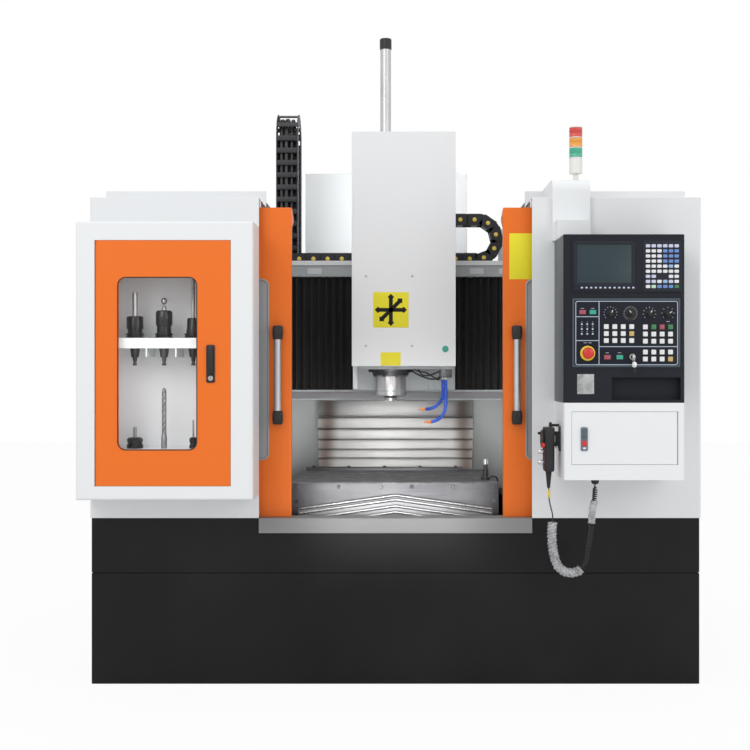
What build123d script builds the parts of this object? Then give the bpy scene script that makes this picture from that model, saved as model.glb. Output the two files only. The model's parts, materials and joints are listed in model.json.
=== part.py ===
from build123d import *
import os
from math import cos, pi, radians, sin, tan

os.makedirs("parts", exist_ok=True)

# Driving dimensions in millimetres: X runs right, Y away from the front, Z up from the floor.
# Depths are measured back from the front face of the base, and back() turns one into Y.

# Base
base_width = 2130
base_depth = 1700
base_height = 580
base_corner = 8
seam_height = 386
seam_gap = 4
trough_side = 38
trough_floor = 470
trough_end = 1240
way_gauge = 400
way_width = 36
way_height = 60
way_length = 1100

# Doorway and sill
doorway_width = 956
sill_sheet = 6
sill_drop = 52
sill_depth = 84
sill_back_drop = 60

# Side housings
housing_overhang = 5
housing_sheet = 4
housing_head_room = 31
housing_step_height = 57
housing_step_depth = 255
housing_depth = 1500
housing_edge_radius = 9
housing_roof_inset = 30
guide_bar_width = 24

# Sliding doors
door_depth = 40
door_sheet = 3
door_flange = 35
door_width = 485
door_height = 1092
door_floor_gap = 0.3
left_door_reach = 110
right_door_reach = 97
door_window_inset = 84
door_window_width = 312
door_window_bottom = 785
door_window_top = 1415
door_window_radius = 20
door_pane_lap = 12
door_pane_thickness = 5
gusset_reach = 75
gusset_drop = 73

# Door handles
handle_inset = 46
handle_diameter = 25
handle_bottom = 907
handle_top = 1255
handle_standoff = 24
handle_bracket_width = 36
handle_bracket_height = 49
handle_bracket_overhang = 14

# Table on its ways
table_side_room = 102
table_front = 190
table_length = 600
table_top = 688
table_thickness = 40
slot_count = 5
slot_pitch = 110
slot_throat = 14
slot_throat_depth = 11
slot_head_width = 23
slot_head_height = 9
carriage_start = 110
carriage_length = 400
carriage_leg_width = 80
running_gap = 0.3

# Telescopic covers, front and rear
cover_sheet = 2
cover_gap = 0.5
apron_sheet = 4
apron_height = 124
apron_top_gap = 4
gable_angle = 8
gable_half_width = 352
gable_half_width_step = 4
gable_peaks = (645, 632, 612, 593)
gable_foot = 522
front_cover_pitch = 26
front_cover_length = 110
rear_half_width = 315
rear_half_width_step = 5
rear_tops = (733, 766, 804, 846, 893, 964)
rear_foot = 600
rear_cover_pitch = 60
rear_cover_length = 92

# Splash walls
splash_sheet = 4
splash_side_gap = 4
splash_back_depth = 1150
splash_back_top = 1010
splash_front_top = 1500

# Gantry
beam_front = 730
beam_face = 800
beam_back = 1130
beam_bottom = 976
beam_top = 1523
beam_lower_lip = 41
beam_upper_lip = 46
column_width = 180
column_side_gap = 22
rail_size = 20
rail_height = 30
rail_inset = 62

# Saddle
saddle_left = -173
saddle_right = 241
saddle_front = 705
saddle_plate_top = 1720
saddle_plate_sheet = 19
saddle_plate_inset = 72
z_rail_width = 24
z_rail_gap = 220
z_rail_thickness = 4.7

# Head, spindle and cover
head_cover_left = -170
head_cover_right = 234
head_cover_front = 500
head_cover_back = 697
head_cover_bottom = 1113
head_cover_top = 2026
head_cover_sheet = 2
head_left = -140
head_right = 226
head_front = 520
head_bottom = 1101
head_top_height = 100
spindle_x = -20
spindle_depth = 610
spindle_flange_radius = 87
spindle_flange_height = 12
spindle_ring_radius = 72
spindle_ring_height = 11
sleeve_radius = 60.5
sleeve_bottom = 997
spindle_radius = 35
spindle_gap = 0.3
spindle_top = 1190
nose_radius = 24
nose_bottom = 977
taper_mouth_radius = 15.875
taper_length = 48.4
taper_slope = 7 / 48
drawbar_radius = 8.5
drawbar_depth = 90

# Balance tube on the head
tube_x = -39
tube_depth = 600
tube_radius = 21.5
tube_height = 345
tube_cap_radius = 23.5
tube_cap_height = 40

# Coolant block and hoses
block_reach = 194
block_forward = 54
block_size = 48
block_height = 33
hose_radius = 7
hose_start_drop = 29
hose_bend = 66
hose_forward = (20, 40)
hose_reach = (208, 218)
hose_drop = (158, 208)
hose_nozzle_reach = (112, 133)

# Bellows
bellows_length = 400
bellows_pleats = 13
bellows_front = 736
bellows_fold = 20
bellows_back = 777

# Cable chains
tray_inset = 80
tray_depth = 110
tray_overhang = 5
tray_sheet = 3
tray_lip = 19
chain_link_height = 50
chain_width = 80
chain_bend_radius = 80
chain_bend_x = 332
chain_end_inset = 52
chain_upper_length = 250
chain_side = 6
chain_bar = 5
chain_pitch = 63
chain_bar_length = 26
chain_bar_inset = 1
riser_inset = 181
riser_width = 96
riser_depth = 865
riser_bend_radius = 92
riser_link = 44
riser_height = 2158

# Rear cabinet
rear_cabinet_left = -399
rear_cabinet_right = 317
rear_cabinet_front = 1200
rear_cabinet_depth = 420
rear_cabinet_height = 1388
rear_seam = 3
rear_seam_inset = 40
louvre_count = 8
louvre_width = 300
louvre_height = 12
louvre_pitch = 30
louvre_bottom = 900

# Tool cabinet
cabinet_overhang = 10
cabinet_depth = 184
cabinet_bottom = 661
cabinet_top = 1598
cabinet_sheet = 4
cabinet_edge_radius = 10
cabinet_frame_depth = 20
cabinet_left_border = 65
cabinet_right_border = 76
cabinet_door_bottom = 709
cabinet_door_height = 825
cabinet_door_thickness = 18
cabinet_door_gap = 1
cabinet_window_inset = 79
cabinet_window_right_border = 115
cabinet_window_bottom = 832
cabinet_window_height = 576
cabinet_window_radius = 25
cabinet_pane_lap = 10
cabinet_pane_thickness = 5
hinge_round_margin = 0.1
pivot_radius = 3
pivot_length = 8
shelf_top = 1207
shelf_lip = 35
shelf_sheet = 5
shelf_front_gap = 12
rib_width = 4
rib_drop = 30
lower_shelf_top = 830
tool_first = 182
tool_pitch = 100
tool_count = 3
tool_depth = -92
latch_inset = 81
latch_width = 29
latch_bottom = 1056
latch_height = 127
latch_plate = 3
latch_lever = 12
latch_pin_radius = 4

# Touch probe on the table
setter_inset = 40
setter_depth = 300
setter_radii = (18, 11, 8.5)
setter_heights = (12, 29, 39)

# Tools on the shelves
flange_radius = 31.5
holder_radius = 28.5
holder_waist_radius = 24.5
flange_height = 16
waist_height = 10
shelf_hole_radius = 23
taper_top_radius = 22.2
taper_bottom_radius = 12.7
shank_length = 65
stud_radius = 7.5
stud_length = 28
holder_heights = (75, 95, 70)
cutter_lengths = (82, 44, 150)
cutter_radii = (9, 8, 6)
lower_tool_radii = (28, 8, 14)
lower_tool_heights = (38, 197, 38)
lower_cutter_radii = (6, 6, 3.5)
lower_cutter_lengths = (36, 12, 62)

# Control box: lower cabinet and console above it
control_left = 557
control_right = 958
control_depth = 245
control_bottom = 734
control_split = 990
control_top = 1548
control_edge_radius = 10
pocket_left = 584
pocket_right = 935
pocket_bottom = 786
pocket_top = 960
pocket_depth = 185
compartment_door_thickness = 16
compartment_gap = 1
compartment_latch_left = 613
compartment_latch_width = 23
compartment_latch_bottom = 831
compartment_latch_height = 78
recess_left = 716
recess_right = 944
recess_bottom = 1000
recess_top = 1074
recess_depth = 30

# Numerical control unit
nc_left = 582
nc_right = 951
nc_bottom = 1354
nc_top = 1535
nc_proud = 6
screen_left = 600
screen_right = 781
screen_bottom = 1386
screen_top = 1514
screen_recess = 3
soft_key_count = 12
soft_key_left = 616
soft_key_pitch = 15.45
soft_key_z = 1371
soft_key_size = 7
key_columns = 6
key_rows = 9
key_left = 834.5
key_top = 1509
key_pitch_x = 18.95
key_pitch_z = 16.8
key_width = 15
key_height = 11
key_proud = 2
open_key_row = 6
open_key_columns = (2, 3)

# Operator panel
panel_left = 585
panel_right = 942
panel_bottom = 1108
panel_top = 1336
panel_proud = 4
button_size = 18
button_proud = 5
left_button_grid = (696.5, 28, 1242, 23)
right_button_grid = (825.6, 27.7, 1241, 23.5)
lower_button_grid = (825.6, 27.7, 1158, 23)
button_column_count = 4
button_rows = (3, 3, 2)
wide_buttons = ((618, 1290), (652, 1290), (700, 1141), (741, 1141))
wide_button_width = 23
wide_button_height = 16
knob_z = 1286
fixed_knob_xs = (711, 901)
feed_knob_x = 777
speed_knob_x = 840
knob_radius = 12
knob_length = 18
knob_pointer = 5
stem_radius = 4
stem_length = 20
stop_x = 635
stop_z = 1154
stop_ring_radius = 28
stop_ring_height = 6
stop_head_radius = 19
stop_head_length = 14
stop_head_chamfer = 4
stop_travel_room = 8
stop_stem_radius = 8
lock_x = 783
lock_z = 1142
lock_radius = 11
lock_height = 5
plug_radius = 6
key_bow_width = 20
key_bow_height = 24
key_bow_sheet = 2.5

# Cable duct and signal tower
duct_left = 547
duct_right = 679
duct_proud = 20
duct_top = 1766
duct_end = 414
duct_radius = 42
duct_foot_left = 555
duct_foot_right = 669
duct_foot_top = 1615
duct_foot_depth = 70
tower_x = 645
tower_depth = 100
tower_foot_radius = 30
tower_neck_radius = 9
tower_neck_height = 33
tower_body_radius = 23.5
tower_body_height = 56
tower_post_radius = 6
lens_height = 36
lens_gap = 0.3
tower_cap_height = 3

# Hand pendant, holder and cord
pendant_left = 500
pendant_right = 536
pendant_depth = -150
pendant_width = 90
pendant_bottom = 757
pendant_top = 906
pendant_edge_radius = 8
pendant_hook_height = 20
pendant_hook_radius = 9
selector_zs = (823, 787)
selector_radius = 11
selector_length = 18
relief_top_radius = 11
relief_bottom_radius = 5
relief_length = 57
wheel_z = 866
wheel_radius = 30
wheel_thickness = 8
wheel_stem_radius = 5
wheel_stem_length = 8
crank_radius = 5
crank_length = 11
crank_offset = 19
holder_bottom = 838
holder_width = 60
gland_x = 675
gland_radius = 15
gland_height = 22
lead_diameter = 6
cord_diameter = 19
lead_points = ((518, 700), (518, 672), (523.5, 640), (532.74, 608), (531, 583))
cord_points = (
    (531, 583), (528.5, 547), (530, 506), (538, 463), (549.3, 432), (576, 413), (609, 412), (636.5, 431),
    (647, 462), (652, 497), (660, 534), (663, 575), (665, 620), (675, 668), (675, 712),
)


def back(depth):
    """Y of a place that lies this far behind the front face of the base."""
    return depth - base_depth / 2


def block(x_span, depth_span, z_span, mode=Mode.ADD):
    """Straight-sided block between two X, two depth and two Z values."""
    width = x_span[1] - x_span[0]
    length = depth_span[1] - depth_span[0]
    height = z_span[1] - z_span[0]
    centre = (x_span[0] + width / 2, back(depth_span[0]) + length / 2, z_span[0] + height / 2)
    with Locations(centre):
        Box(width, length, height, mode=mode)


def front_plane(depth):
    """Plane that faces the front at a depth, with local x along X and local y along Z."""
    return Plane.XZ.offset(-back(depth))


def side_plane(x):
    """Plane that faces right at an X, with local x along Y and local y along Z."""
    return Plane.YZ.offset(x)


def outline(points):
    """Face bounded by straight edges through these local points."""
    with BuildSketch(mode=Mode.PRIVATE) as shape:
        with BuildLine():
            Polyline(*points, close=True)
        make_face()
    return shape.sketch


def peg(x, depth, z, radius, length, mode=Mode.ADD):
    """Round peg along Y, from a depth backwards."""
    with Locations(Location((x, back(depth), z), (-90, 0, 0))):
        Cylinder(radius, length, align=(Align.CENTER, Align.CENTER, Align.MIN), mode=mode)


def post(x, depth, z, radius, height, mode=Mode.ADD):
    """Round post along Z, from a height upwards."""
    with Locations((x, back(depth), z)):
        Cylinder(radius, height, align=(Align.CENTER, Align.CENTER, Align.MIN), mode=mode)


def cone_post(x, depth, z, low_radius, high_radius, height, mode=Mode.ADD):
    """Tapered post along Z, from a height upwards."""
    with Locations((x, back(depth), z)):
        Cone(low_radius, high_radius, height, align=(Align.CENTER, Align.CENTER, Align.MIN), mode=mode)


# Places that follow from the driving dimensions
doorway_half = doorway_width / 2
trough_half = doorway_half - trough_side
housing_side = base_width / 2 + housing_overhang
housing_front_top = base_height + door_height + housing_head_room
housing_rear_top = housing_front_top + housing_step_height
left_door_edge = left_door_reach - doorway_half
right_door_edge = doorway_half - right_door_reach
splash_half_width = doorway_half - splash_side_gap
beam_half_length = doorway_half + column_side_gap + column_width
tray_half_length = beam_half_length - tray_inset
door_bottom = base_height + door_floor_gap
door_top = door_bottom + door_height
way_top = trough_floor + way_height
table_half = doorway_half - table_side_room
table_back = table_front + table_length
table_bottom = table_top - table_thickness
lip_bottom_top = beam_bottom + beam_lower_lip
lip_top_bottom = beam_top - beam_upper_lip
rail_front = beam_face - rail_size
head_back = saddle_front - z_rail_thickness - running_gap
head_top_bottom = head_cover_top - head_top_height
block_left = spindle_x + block_reach
block_front = spindle_depth - block_forward
control_front = -control_depth


# Base: painted fabrication with a chip trough and two ways for the table
with BuildPart() as base_frame:
    with BuildSketch():
        RectangleRounded(base_width, base_depth, base_corner)
    extrude(amount=base_height)
    with BuildSketch(Plane.XY.offset(seam_height)):
        Rectangle(base_width, base_depth)
        Rectangle(base_width - 2 * seam_gap, base_depth - 2 * seam_gap, mode=Mode.SUBTRACT)
    extrude(amount=seam_gap, mode=Mode.SUBTRACT)
    block(
        (-trough_half, trough_half),
        (sill_depth, trough_end),
        (trough_floor, base_height),
        Mode.SUBTRACT,
    )
    block(
        (-doorway_half, doorway_half), (0, sill_depth), (base_height - sill_sheet, base_height), Mode.SUBTRACT
    )
    for side in (-1, 1):
        way_x = side * way_gauge / 2
        block(
            (way_x - way_width / 2, way_x + way_width / 2),
            (trough_end - way_length, trough_end),
            (trough_floor, way_top),
        )
base_frame.part.label = "base_frame"
export_step(base_frame.part, "parts/base_frame.step")


def gable(half_width, peak, foot):
    """Outline of a roofed cover seen from the front: a low gable over straight skirts."""
    eave = peak - half_width * tan(radians(gable_angle))
    return outline(
        [(-half_width, foot), (-half_width, eave), (0, peak), (half_width, eave), (half_width, foot)]
    )


def flat_hood(half_width, top, foot):
    """Outline of a flat-topped cover seen from the front."""
    return outline([(-half_width, foot), (-half_width, top), (half_width, top), (half_width, foot)])


def gable_width(index):
    """Half width of a front cover section, counted from the table."""
    return gable_half_width - gable_half_width_step * index


def rear_width(index):
    """Half width of a rear cover section, counted from the table."""
    return rear_half_width + rear_half_width_step * index


front_sections = len(gable_peaks)
rear_sections = len(rear_tops)
fixed_gable = front_sections - 1
fixed_hood = rear_sections - 1
apron_front = table_front - apron_sheet


# Sill: folded plate over the front wall of the trough, with the fixed roof section behind it
with BuildPart() as sill:
    with BuildSketch(side_plane(-doorway_half)):
        add(
            outline([
                (back(-sill_sheet), base_height - sill_drop),
                (back(0), base_height - sill_drop),
                (back(0), base_height - sill_sheet),
                (back(sill_depth), base_height - sill_sheet),
                (back(sill_depth), base_height - sill_back_drop),
                (back(sill_depth + cover_sheet), base_height - sill_back_drop),
                (back(sill_depth + cover_sheet), base_height),
                (back(-sill_sheet), base_height),
            ])
        )
    extrude(amount=doorway_width)
    for half in (-1, 1):
        block(
            tuple(sorted((half * doorway_half, half * trough_half))),
            (sill_depth, sill_depth + cover_sheet),
            (base_height - sill_back_drop, base_height),
            Mode.SUBTRACT,
        )
    with BuildSketch(front_plane(sill_depth)):
        add(gable(gable_width(fixed_gable), gable_peaks[fixed_gable], gable_foot))
    extrude(amount=-cover_sheet)
    with BuildSketch(front_plane(sill_depth)):
        add(gable(gable_width(fixed_gable), gable_peaks[fixed_gable], gable_foot))
        add(
            gable(
                gable_width(fixed_gable) - cover_sheet,
                gable_peaks[fixed_gable] - cover_sheet,
                gable_foot - cover_sheet,
            ),
            mode=Mode.SUBTRACT,
        )
    extrude(amount=-front_cover_length)
sill.part.label = "sill"
export_step(sill.part, "parts/sill.step")


def cover_section(shape, width, height, foot, gate_width, gate_height, front, length):
    """Folded cover section: a thin hood, and a front lip that fits round the section ahead of it.

    shape is the outline function. gate_width and gate_height are those of the section that slides
    inside, or None where the lip is closed.
    """
    with BuildPart() as section:
        with BuildSketch(front_plane(front)):
            add(shape(width, height, foot))
            add(shape(width - cover_sheet, height - cover_sheet, foot - cover_sheet), mode=Mode.SUBTRACT)
        extrude(amount=-length)
        with BuildSketch(front_plane(front)):
            add(shape(width, height, foot))
            if gate_width is not None:
                gate = shape(gate_width + cover_gap, gate_height + cover_gap, foot - cover_sheet)
                add(gate, mode=Mode.SUBTRACT)
        extrude(amount=-cover_sheet)
    return section


# Front covers: three roofed sections that telescope between the apron and the sill
for index in range(fixed_gable):
    front_cover = cover_section(
        gable,
        gable_width(index),
        gable_peaks[index],
        gable_foot,
        gable_width(index + 1),
        gable_peaks[index + 1],
        apron_front - front_cover_pitch * (index + 1),
        front_cover_length,
    )
    front_cover.part.label = f"front_cover_{index + 1}"
    export_step(front_cover.part, f"parts/front_cover_{index + 1}.step")


# Apron: plate on the front edge of the table, cut out round the first roofed section
with BuildPart() as front_apron:
    with BuildSketch(front_plane(apron_front)):
        apron_top = table_top - apron_top_gap
        add(flat_hood(table_half, apron_top, apron_top - apron_height))
        add(
            gable(gable_width(0) + cover_gap, gable_peaks[0] + cover_gap, gable_foot - cover_gap),
            mode=Mode.SUBTRACT,
        )
    extrude(amount=-apron_sheet)
front_apron.part.label = "front_apron"
export_step(front_apron.part, "parts/front_apron.step")


# Rear covers: stepped hoods, the first on the table and each wider and taller than the last
for index in range(fixed_hood):
    first = index == 0
    rear_cover = cover_section(
        flat_hood,
        rear_width(index),
        rear_tops[index],
        rear_foot,
        None if first else rear_width(index - 1),
        None if first else rear_tops[index - 1],
        table_back + rear_cover_pitch * index,
        rear_cover_length,
    )
    rear_cover.part.label = f"rear_cover_{index + 1}"
    export_step(rear_cover.part, f"parts/rear_cover_{index + 1}.step")


# Splash walls: two sides and a back, with the fixed hood of the rear cover in the back wall
with BuildPart() as splash_walls:
    splash_front = sill_depth + cover_sheet
    splash_end = splash_back_depth + splash_sheet
    under_beam = beam_bottom - splash_sheet
    before_beam = beam_front - splash_sheet
    for side in (-1, 1):
        inner_x = side * (splash_half_width - splash_sheet / 2) - splash_sheet / 2
        with BuildSketch(side_plane(inner_x)):
            add(
                outline([
                    (back(splash_front), base_height),
                    (back(splash_front), splash_front_top),
                    (back(before_beam), splash_front_top),
                    (back(before_beam), under_beam),
                    (back(splash_end), under_beam),
                    (back(splash_end), base_height),
                ])
            )
        extrude(amount=splash_sheet)
    with BuildSketch(front_plane(splash_back_depth)):
        add(flat_hood(splash_half_width, splash_back_top, base_height))
        add(
            flat_hood(
                rear_width(fixed_hood) - cover_sheet, rear_tops[fixed_hood] - cover_sheet, base_height
            ),
            mode=Mode.SUBTRACT,
        )
    extrude(amount=-splash_sheet)
    hood_front = table_back + rear_cover_pitch * fixed_hood
    with BuildSketch(front_plane(hood_front)):
        add(flat_hood(rear_width(fixed_hood), rear_tops[fixed_hood], rear_foot))
        add(
            flat_hood(
                rear_width(fixed_hood) - cover_sheet, rear_tops[fixed_hood] - cover_sheet, rear_foot
            ),
            mode=Mode.SUBTRACT,
        )
    extrude(amount=-rear_cover_length)
    with BuildSketch(front_plane(hood_front)):
        add(flat_hood(rear_width(fixed_hood), rear_tops[fixed_hood], rear_foot))
        add(
            flat_hood(
                rear_width(fixed_hood - 1) + cover_gap, rear_tops[fixed_hood - 1] + cover_gap, rear_foot
            ),
            mode=Mode.SUBTRACT,
        )
    extrude(amount=-cover_sheet)
splash_walls.part.label = "splash_walls"
export_step(splash_walls.part, "parts/splash_walls.step")


def door_guide_span():
    """Depths between which the door's top flange is guided."""
    middle = door_depth + door_flange / 2
    return (middle - guide_bar_width / 2, middle + guide_bar_width / 2)


def side_housing(side):
    """Sheet-metal housing beside the doorway, open inwards and below, with a door guide in its roof."""
    with BuildPart() as shell:
        with BuildSketch(side_plane(0)):
            with BuildLine():
                Polyline(
                    (back(0), base_height),
                    (back(0), housing_front_top),
                    (back(housing_step_depth), housing_front_top),
                    (back(housing_step_depth), housing_rear_top),
                    (back(housing_depth), housing_rear_top),
                    (back(housing_depth), base_height),
                    close=True,
                )
            make_face()
        extrude(amount=side * housing_side)
        outer_edges = shell.edges().filter_by(Axis.Z).sort_by(lambda e: side * e.center().X)[-4:]
        fillet(outer_edges.sort_by(Axis.Y)[0], housing_edge_radius)
        block(
            tuple(sorted((0, side * doorway_half))), (0, housing_depth), (base_height, housing_rear_top),
            Mode.SUBTRACT,
        )
        block(
            tuple(sorted((0, side * (doorway_half + housing_roof_inset)))),
            (housing_step_depth + housing_sheet, housing_depth),
            (housing_rear_top - housing_sheet, housing_rear_top),
            Mode.SUBTRACT,
        )
        inner = tuple(sorted((0, side * (housing_side - housing_sheet))))
        block(
            inner,
            (housing_sheet, housing_depth - housing_sheet),
            (base_height, housing_front_top - housing_sheet),
            Mode.SUBTRACT,
        )
        block(
            inner,
            (housing_step_depth + housing_sheet, housing_depth - housing_sheet),
            (base_height, housing_rear_top - housing_sheet),
            Mode.SUBTRACT,
        )
        block(
            tuple(sorted((side * doorway_half, side * (housing_side - housing_sheet)))),
            door_guide_span(),
            (door_top + door_floor_gap, housing_front_top - housing_sheet),
        )
    return shell


left_housing = side_housing(-1)
left_housing.part.label = "left_housing"
export_step(left_housing.part, "parts/left_housing.step")

right_housing = side_housing(1)
right_housing.part.label = "right_housing"
export_step(right_housing.part, "parts/right_housing.step")


def sliding_door(edge, side):
    """Folded door panel with flanges on all four sides, a window opening and a rear gusset."""
    far = edge + side * door_width
    x_span = tuple(sorted((edge, far)))
    window_span = tuple(
        sorted((edge + side * door_window_inset, edge + side * (door_window_inset + door_window_width)))
    )
    with BuildPart() as door:
        block(x_span, (door_depth, door_depth + door_flange), (door_bottom, door_top))
        block(
            (x_span[0] + door_sheet, x_span[1] - door_sheet),
            (door_depth + door_sheet, door_depth + door_flange),
            (door_bottom + door_sheet, door_top - door_sheet),
            Mode.SUBTRACT,
        )
        with BuildSketch(front_plane(door_depth)):
            with Locations((sum(window_span) / 2, (door_window_bottom + door_window_top) / 2)):
                RectangleRounded(
                    door_window_width, door_window_top - door_window_bottom, door_window_radius
                )
        extrude(amount=-door_sheet, mode=Mode.SUBTRACT)
        gusset_x = edge if side > 0 else edge - door_sheet
        with BuildSketch(side_plane(gusset_x)):
            add(
                outline([
                    (back(door_depth + door_sheet), door_top),
                    (back(door_depth + door_flange), door_top),
                    (back(door_depth + door_flange + gusset_reach), door_top - gusset_drop / 3),
                    (back(door_depth + door_flange + gusset_reach), door_top - gusset_drop / 2),
                    (back(door_depth + door_flange), door_top - gusset_drop),
                ])
            )
        extrude(amount=door_sheet)
    return door


def door_pane(edge, side):
    """Window pane behind a sliding door's sheet, lapping the opening all round."""
    middle = edge + side * (door_window_inset + door_window_width / 2)
    half = door_window_width / 2 + door_pane_lap
    with BuildPart() as pane:
        block(
            (middle - half, middle + half),
            (door_depth + door_sheet, door_depth + door_sheet + door_pane_thickness),
            (door_window_bottom - door_pane_lap, door_window_top + door_pane_lap),
        )
    return pane


def door_handle(edge, side):
    """Tube handle between two end brackets that stand on the door."""
    x = edge + side * handle_inset
    tube_y = door_depth - handle_standoff
    front = tube_y - handle_bracket_overhang
    with BuildPart() as handle:
        for low in (handle_bottom, handle_top - handle_bracket_height):
            with BuildSketch(Plane.XY.offset(low)):
                with BuildLine():
                    Polyline(
                        (x - handle_bracket_width / 2, back(door_depth)),
                        (x - handle_bracket_width / 2, back(tube_y)),
                        (x - handle_bracket_width / 4, back(front)),
                        (x + handle_bracket_width / 4, back(front)),
                        (x + handle_bracket_width / 2, back(tube_y)),
                        (x + handle_bracket_width / 2, back(door_depth)),
                        close=True,
                    )
                make_face()
            extrude(amount=handle_bracket_height)
        post(
            x, tube_y, handle_bottom + handle_bracket_height / 2, handle_diameter / 2,
            handle_top - handle_bottom - handle_bracket_height,
        )
    return handle


for door_name, door_edge, door_side in (("left", left_door_edge, -1), ("right", right_door_edge, 1)):
    door = sliding_door(door_edge, door_side)
    door.part.label = f"{door_name}_door"
    export_step(door.part, f"parts/{door_name}_door.step")
    window = door_pane(door_edge, door_side)
    window.part.label = f"{door_name}_window"
    export_step(window.part, f"parts/{door_name}_window.step")
    handle = door_handle(door_edge, door_side)
    handle.part.label = f"{door_name}_handle"
    export_step(handle.part, f"parts/{door_name}_handle.step")


# Table: slotted plate on a carriage that straddles the two ways
with BuildPart() as work_table:
    block((-table_half, table_half), (table_front, table_back), (table_bottom, table_top))
    table_middle = (table_front + table_back) / 2
    for number in range(slot_count):
        slot_depth = table_middle + (number - (slot_count - 1) / 2) * slot_pitch
        throat_floor = table_top - slot_throat_depth
        block(
            (-table_half, table_half),
            (slot_depth - slot_throat / 2, slot_depth + slot_throat / 2),
            (throat_floor, table_top),
            Mode.SUBTRACT,
        )
        block(
            (-table_half, table_half),
            (slot_depth - slot_head_width / 2, slot_depth + slot_head_width / 2),
            (throat_floor - slot_head_height, throat_floor),
            Mode.SUBTRACT,
        )
    leg_bottom = way_top + running_gap
    leg_outer = way_gauge / 2 + carriage_leg_width / 2
    leg_inner = way_gauge / 2 - carriage_leg_width / 2
    for side in (-1, 1):
        block(
            tuple(sorted((side * leg_inner, side * leg_outer))),
            (table_front + carriage_start, table_front + carriage_start + carriage_length),
            (leg_bottom, table_bottom),
        )
work_table.part.label = "work_table"
export_step(work_table.part, "parts/work_table.step")


# Tool setter: touch probe that stands on the table's right end
with BuildPart() as tool_setter:
    for step, (setter_radius, setter_height) in enumerate(zip(setter_radii, setter_heights)):
        step_bottom = table_top + sum(setter_heights[:step])
        post(table_half - setter_inset, setter_depth, step_bottom, setter_radius, setter_height)
tool_setter.part.label = "tool_setter"
export_step(tool_setter.part, "parts/tool_setter.step")


# Gantry: portal of two columns and a beam, with two rails in the beam's channel
with BuildPart() as gantry:
    with BuildSketch(side_plane(-beam_half_length)):
        add(
            outline([
                (back(beam_front), beam_bottom),
                (back(beam_front), lip_bottom_top),
                (back(beam_face), lip_bottom_top),
                (back(beam_face), lip_top_bottom),
                (back(beam_front), lip_top_bottom),
                (back(beam_front), beam_top),
                (back(beam_back), beam_top),
                (back(beam_back), beam_bottom),
            ])
        )
    extrude(amount=2 * beam_half_length)
    for side in (-1, 1):
        column_span = sorted((side * beam_half_length, side * (beam_half_length - column_width)))
        block(tuple(column_span), (beam_face, beam_back), (base_height, beam_bottom))
    for rail_z in (lip_bottom_top + rail_inset, lip_top_bottom - rail_inset):
        block(
            (-beam_half_length, beam_half_length),
            (rail_front, beam_face),
            (rail_z - rail_height / 2, rail_z + rail_height / 2),
        )
gantry.part.label = "gantry"
export_step(gantry.part, "parts/gantry.step")


# Saddle: block between the bellows, with a tall plate and two vertical rails for the head
with BuildPart() as saddle:
    block(
        (saddle_left, saddle_right),
        (saddle_front, rail_front - running_gap),
        (lip_bottom_top + cover_gap, lip_top_bottom - cover_gap),
    )
    block(
        (saddle_left + saddle_plate_inset, saddle_right - saddle_plate_inset),
        (saddle_front, saddle_front + saddle_plate_sheet),
        (lip_top_bottom - cover_gap, saddle_plate_top),
    )
    saddle_middle = (saddle_left + saddle_right) / 2
    for side in (-1, 1):
        rail_x = saddle_middle + side * z_rail_gap / 2
        block(
            (rail_x - z_rail_width / 2, rail_x + z_rail_width / 2),
            (saddle_front - z_rail_thickness, saddle_front),
            (lip_bottom_top + cover_gap, saddle_plate_top),
        )
saddle.part.label = "saddle"
export_step(saddle.part, "parts/saddle.step")


# Head: casting that slides on the saddle, with the spindle's flange and sleeve below it
with BuildPart() as head_body:
    block((head_left, head_right), (head_front, head_back), (head_bottom, head_top_bottom))
    block(
        (head_cover_left + head_cover_sheet, head_cover_right - head_cover_sheet),
        (head_cover_front + head_cover_sheet, head_cover_back),
        (head_top_bottom, head_cover_top - head_cover_sheet),
    )
    post(
        spindle_x, spindle_depth, head_bottom - spindle_flange_height, spindle_flange_radius,
        spindle_flange_height,
    )
    ring_bottom = head_bottom - spindle_flange_height - spindle_ring_height
    post(spindle_x, spindle_depth, ring_bottom, spindle_ring_radius, spindle_ring_height)
    post(spindle_x, spindle_depth, sleeve_bottom, sleeve_radius, ring_bottom - sleeve_bottom)
    post(
        spindle_x, spindle_depth, sleeve_bottom, spindle_radius + spindle_gap,
        spindle_top + spindle_gap - sleeve_bottom, Mode.SUBTRACT,
    )
head_body.part.label = "head_body"
export_step(head_body.part, "parts/head_body.step")


# Head cover: tall sheet cover, open below and behind
with BuildPart() as head_cover:
    block(
        (head_cover_left, head_cover_right),
        (head_cover_front, head_cover_back),
        (head_cover_bottom, head_cover_top),
    )
    block(
        (head_cover_left + head_cover_sheet, head_cover_right - head_cover_sheet),
        (head_cover_front + head_cover_sheet, head_cover_back),
        (head_cover_bottom, head_cover_top - head_cover_sheet),
        Mode.SUBTRACT,
    )
head_cover.part.label = "head_cover"
export_step(head_cover.part, "parts/head_cover.step")


# Spindle: shaft in the sleeve, with a tapered socket in its nose
with BuildPart() as spindle:
    post(
        spindle_x, spindle_depth, sleeve_bottom + spindle_gap, spindle_radius,
        spindle_top - sleeve_bottom - spindle_gap,
    )
    post(spindle_x, spindle_depth, nose_bottom, nose_radius, sleeve_bottom + spindle_gap - nose_bottom)
    cone_post(
        spindle_x, spindle_depth, nose_bottom, taper_mouth_radius,
        taper_mouth_radius - taper_length * taper_slope, taper_length, Mode.SUBTRACT,
    )
    post(spindle_x, spindle_depth, nose_bottom, drawbar_radius, drawbar_depth, Mode.SUBTRACT)
spindle.part.label = "spindle"
export_step(spindle.part, "parts/spindle.step")


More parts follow.
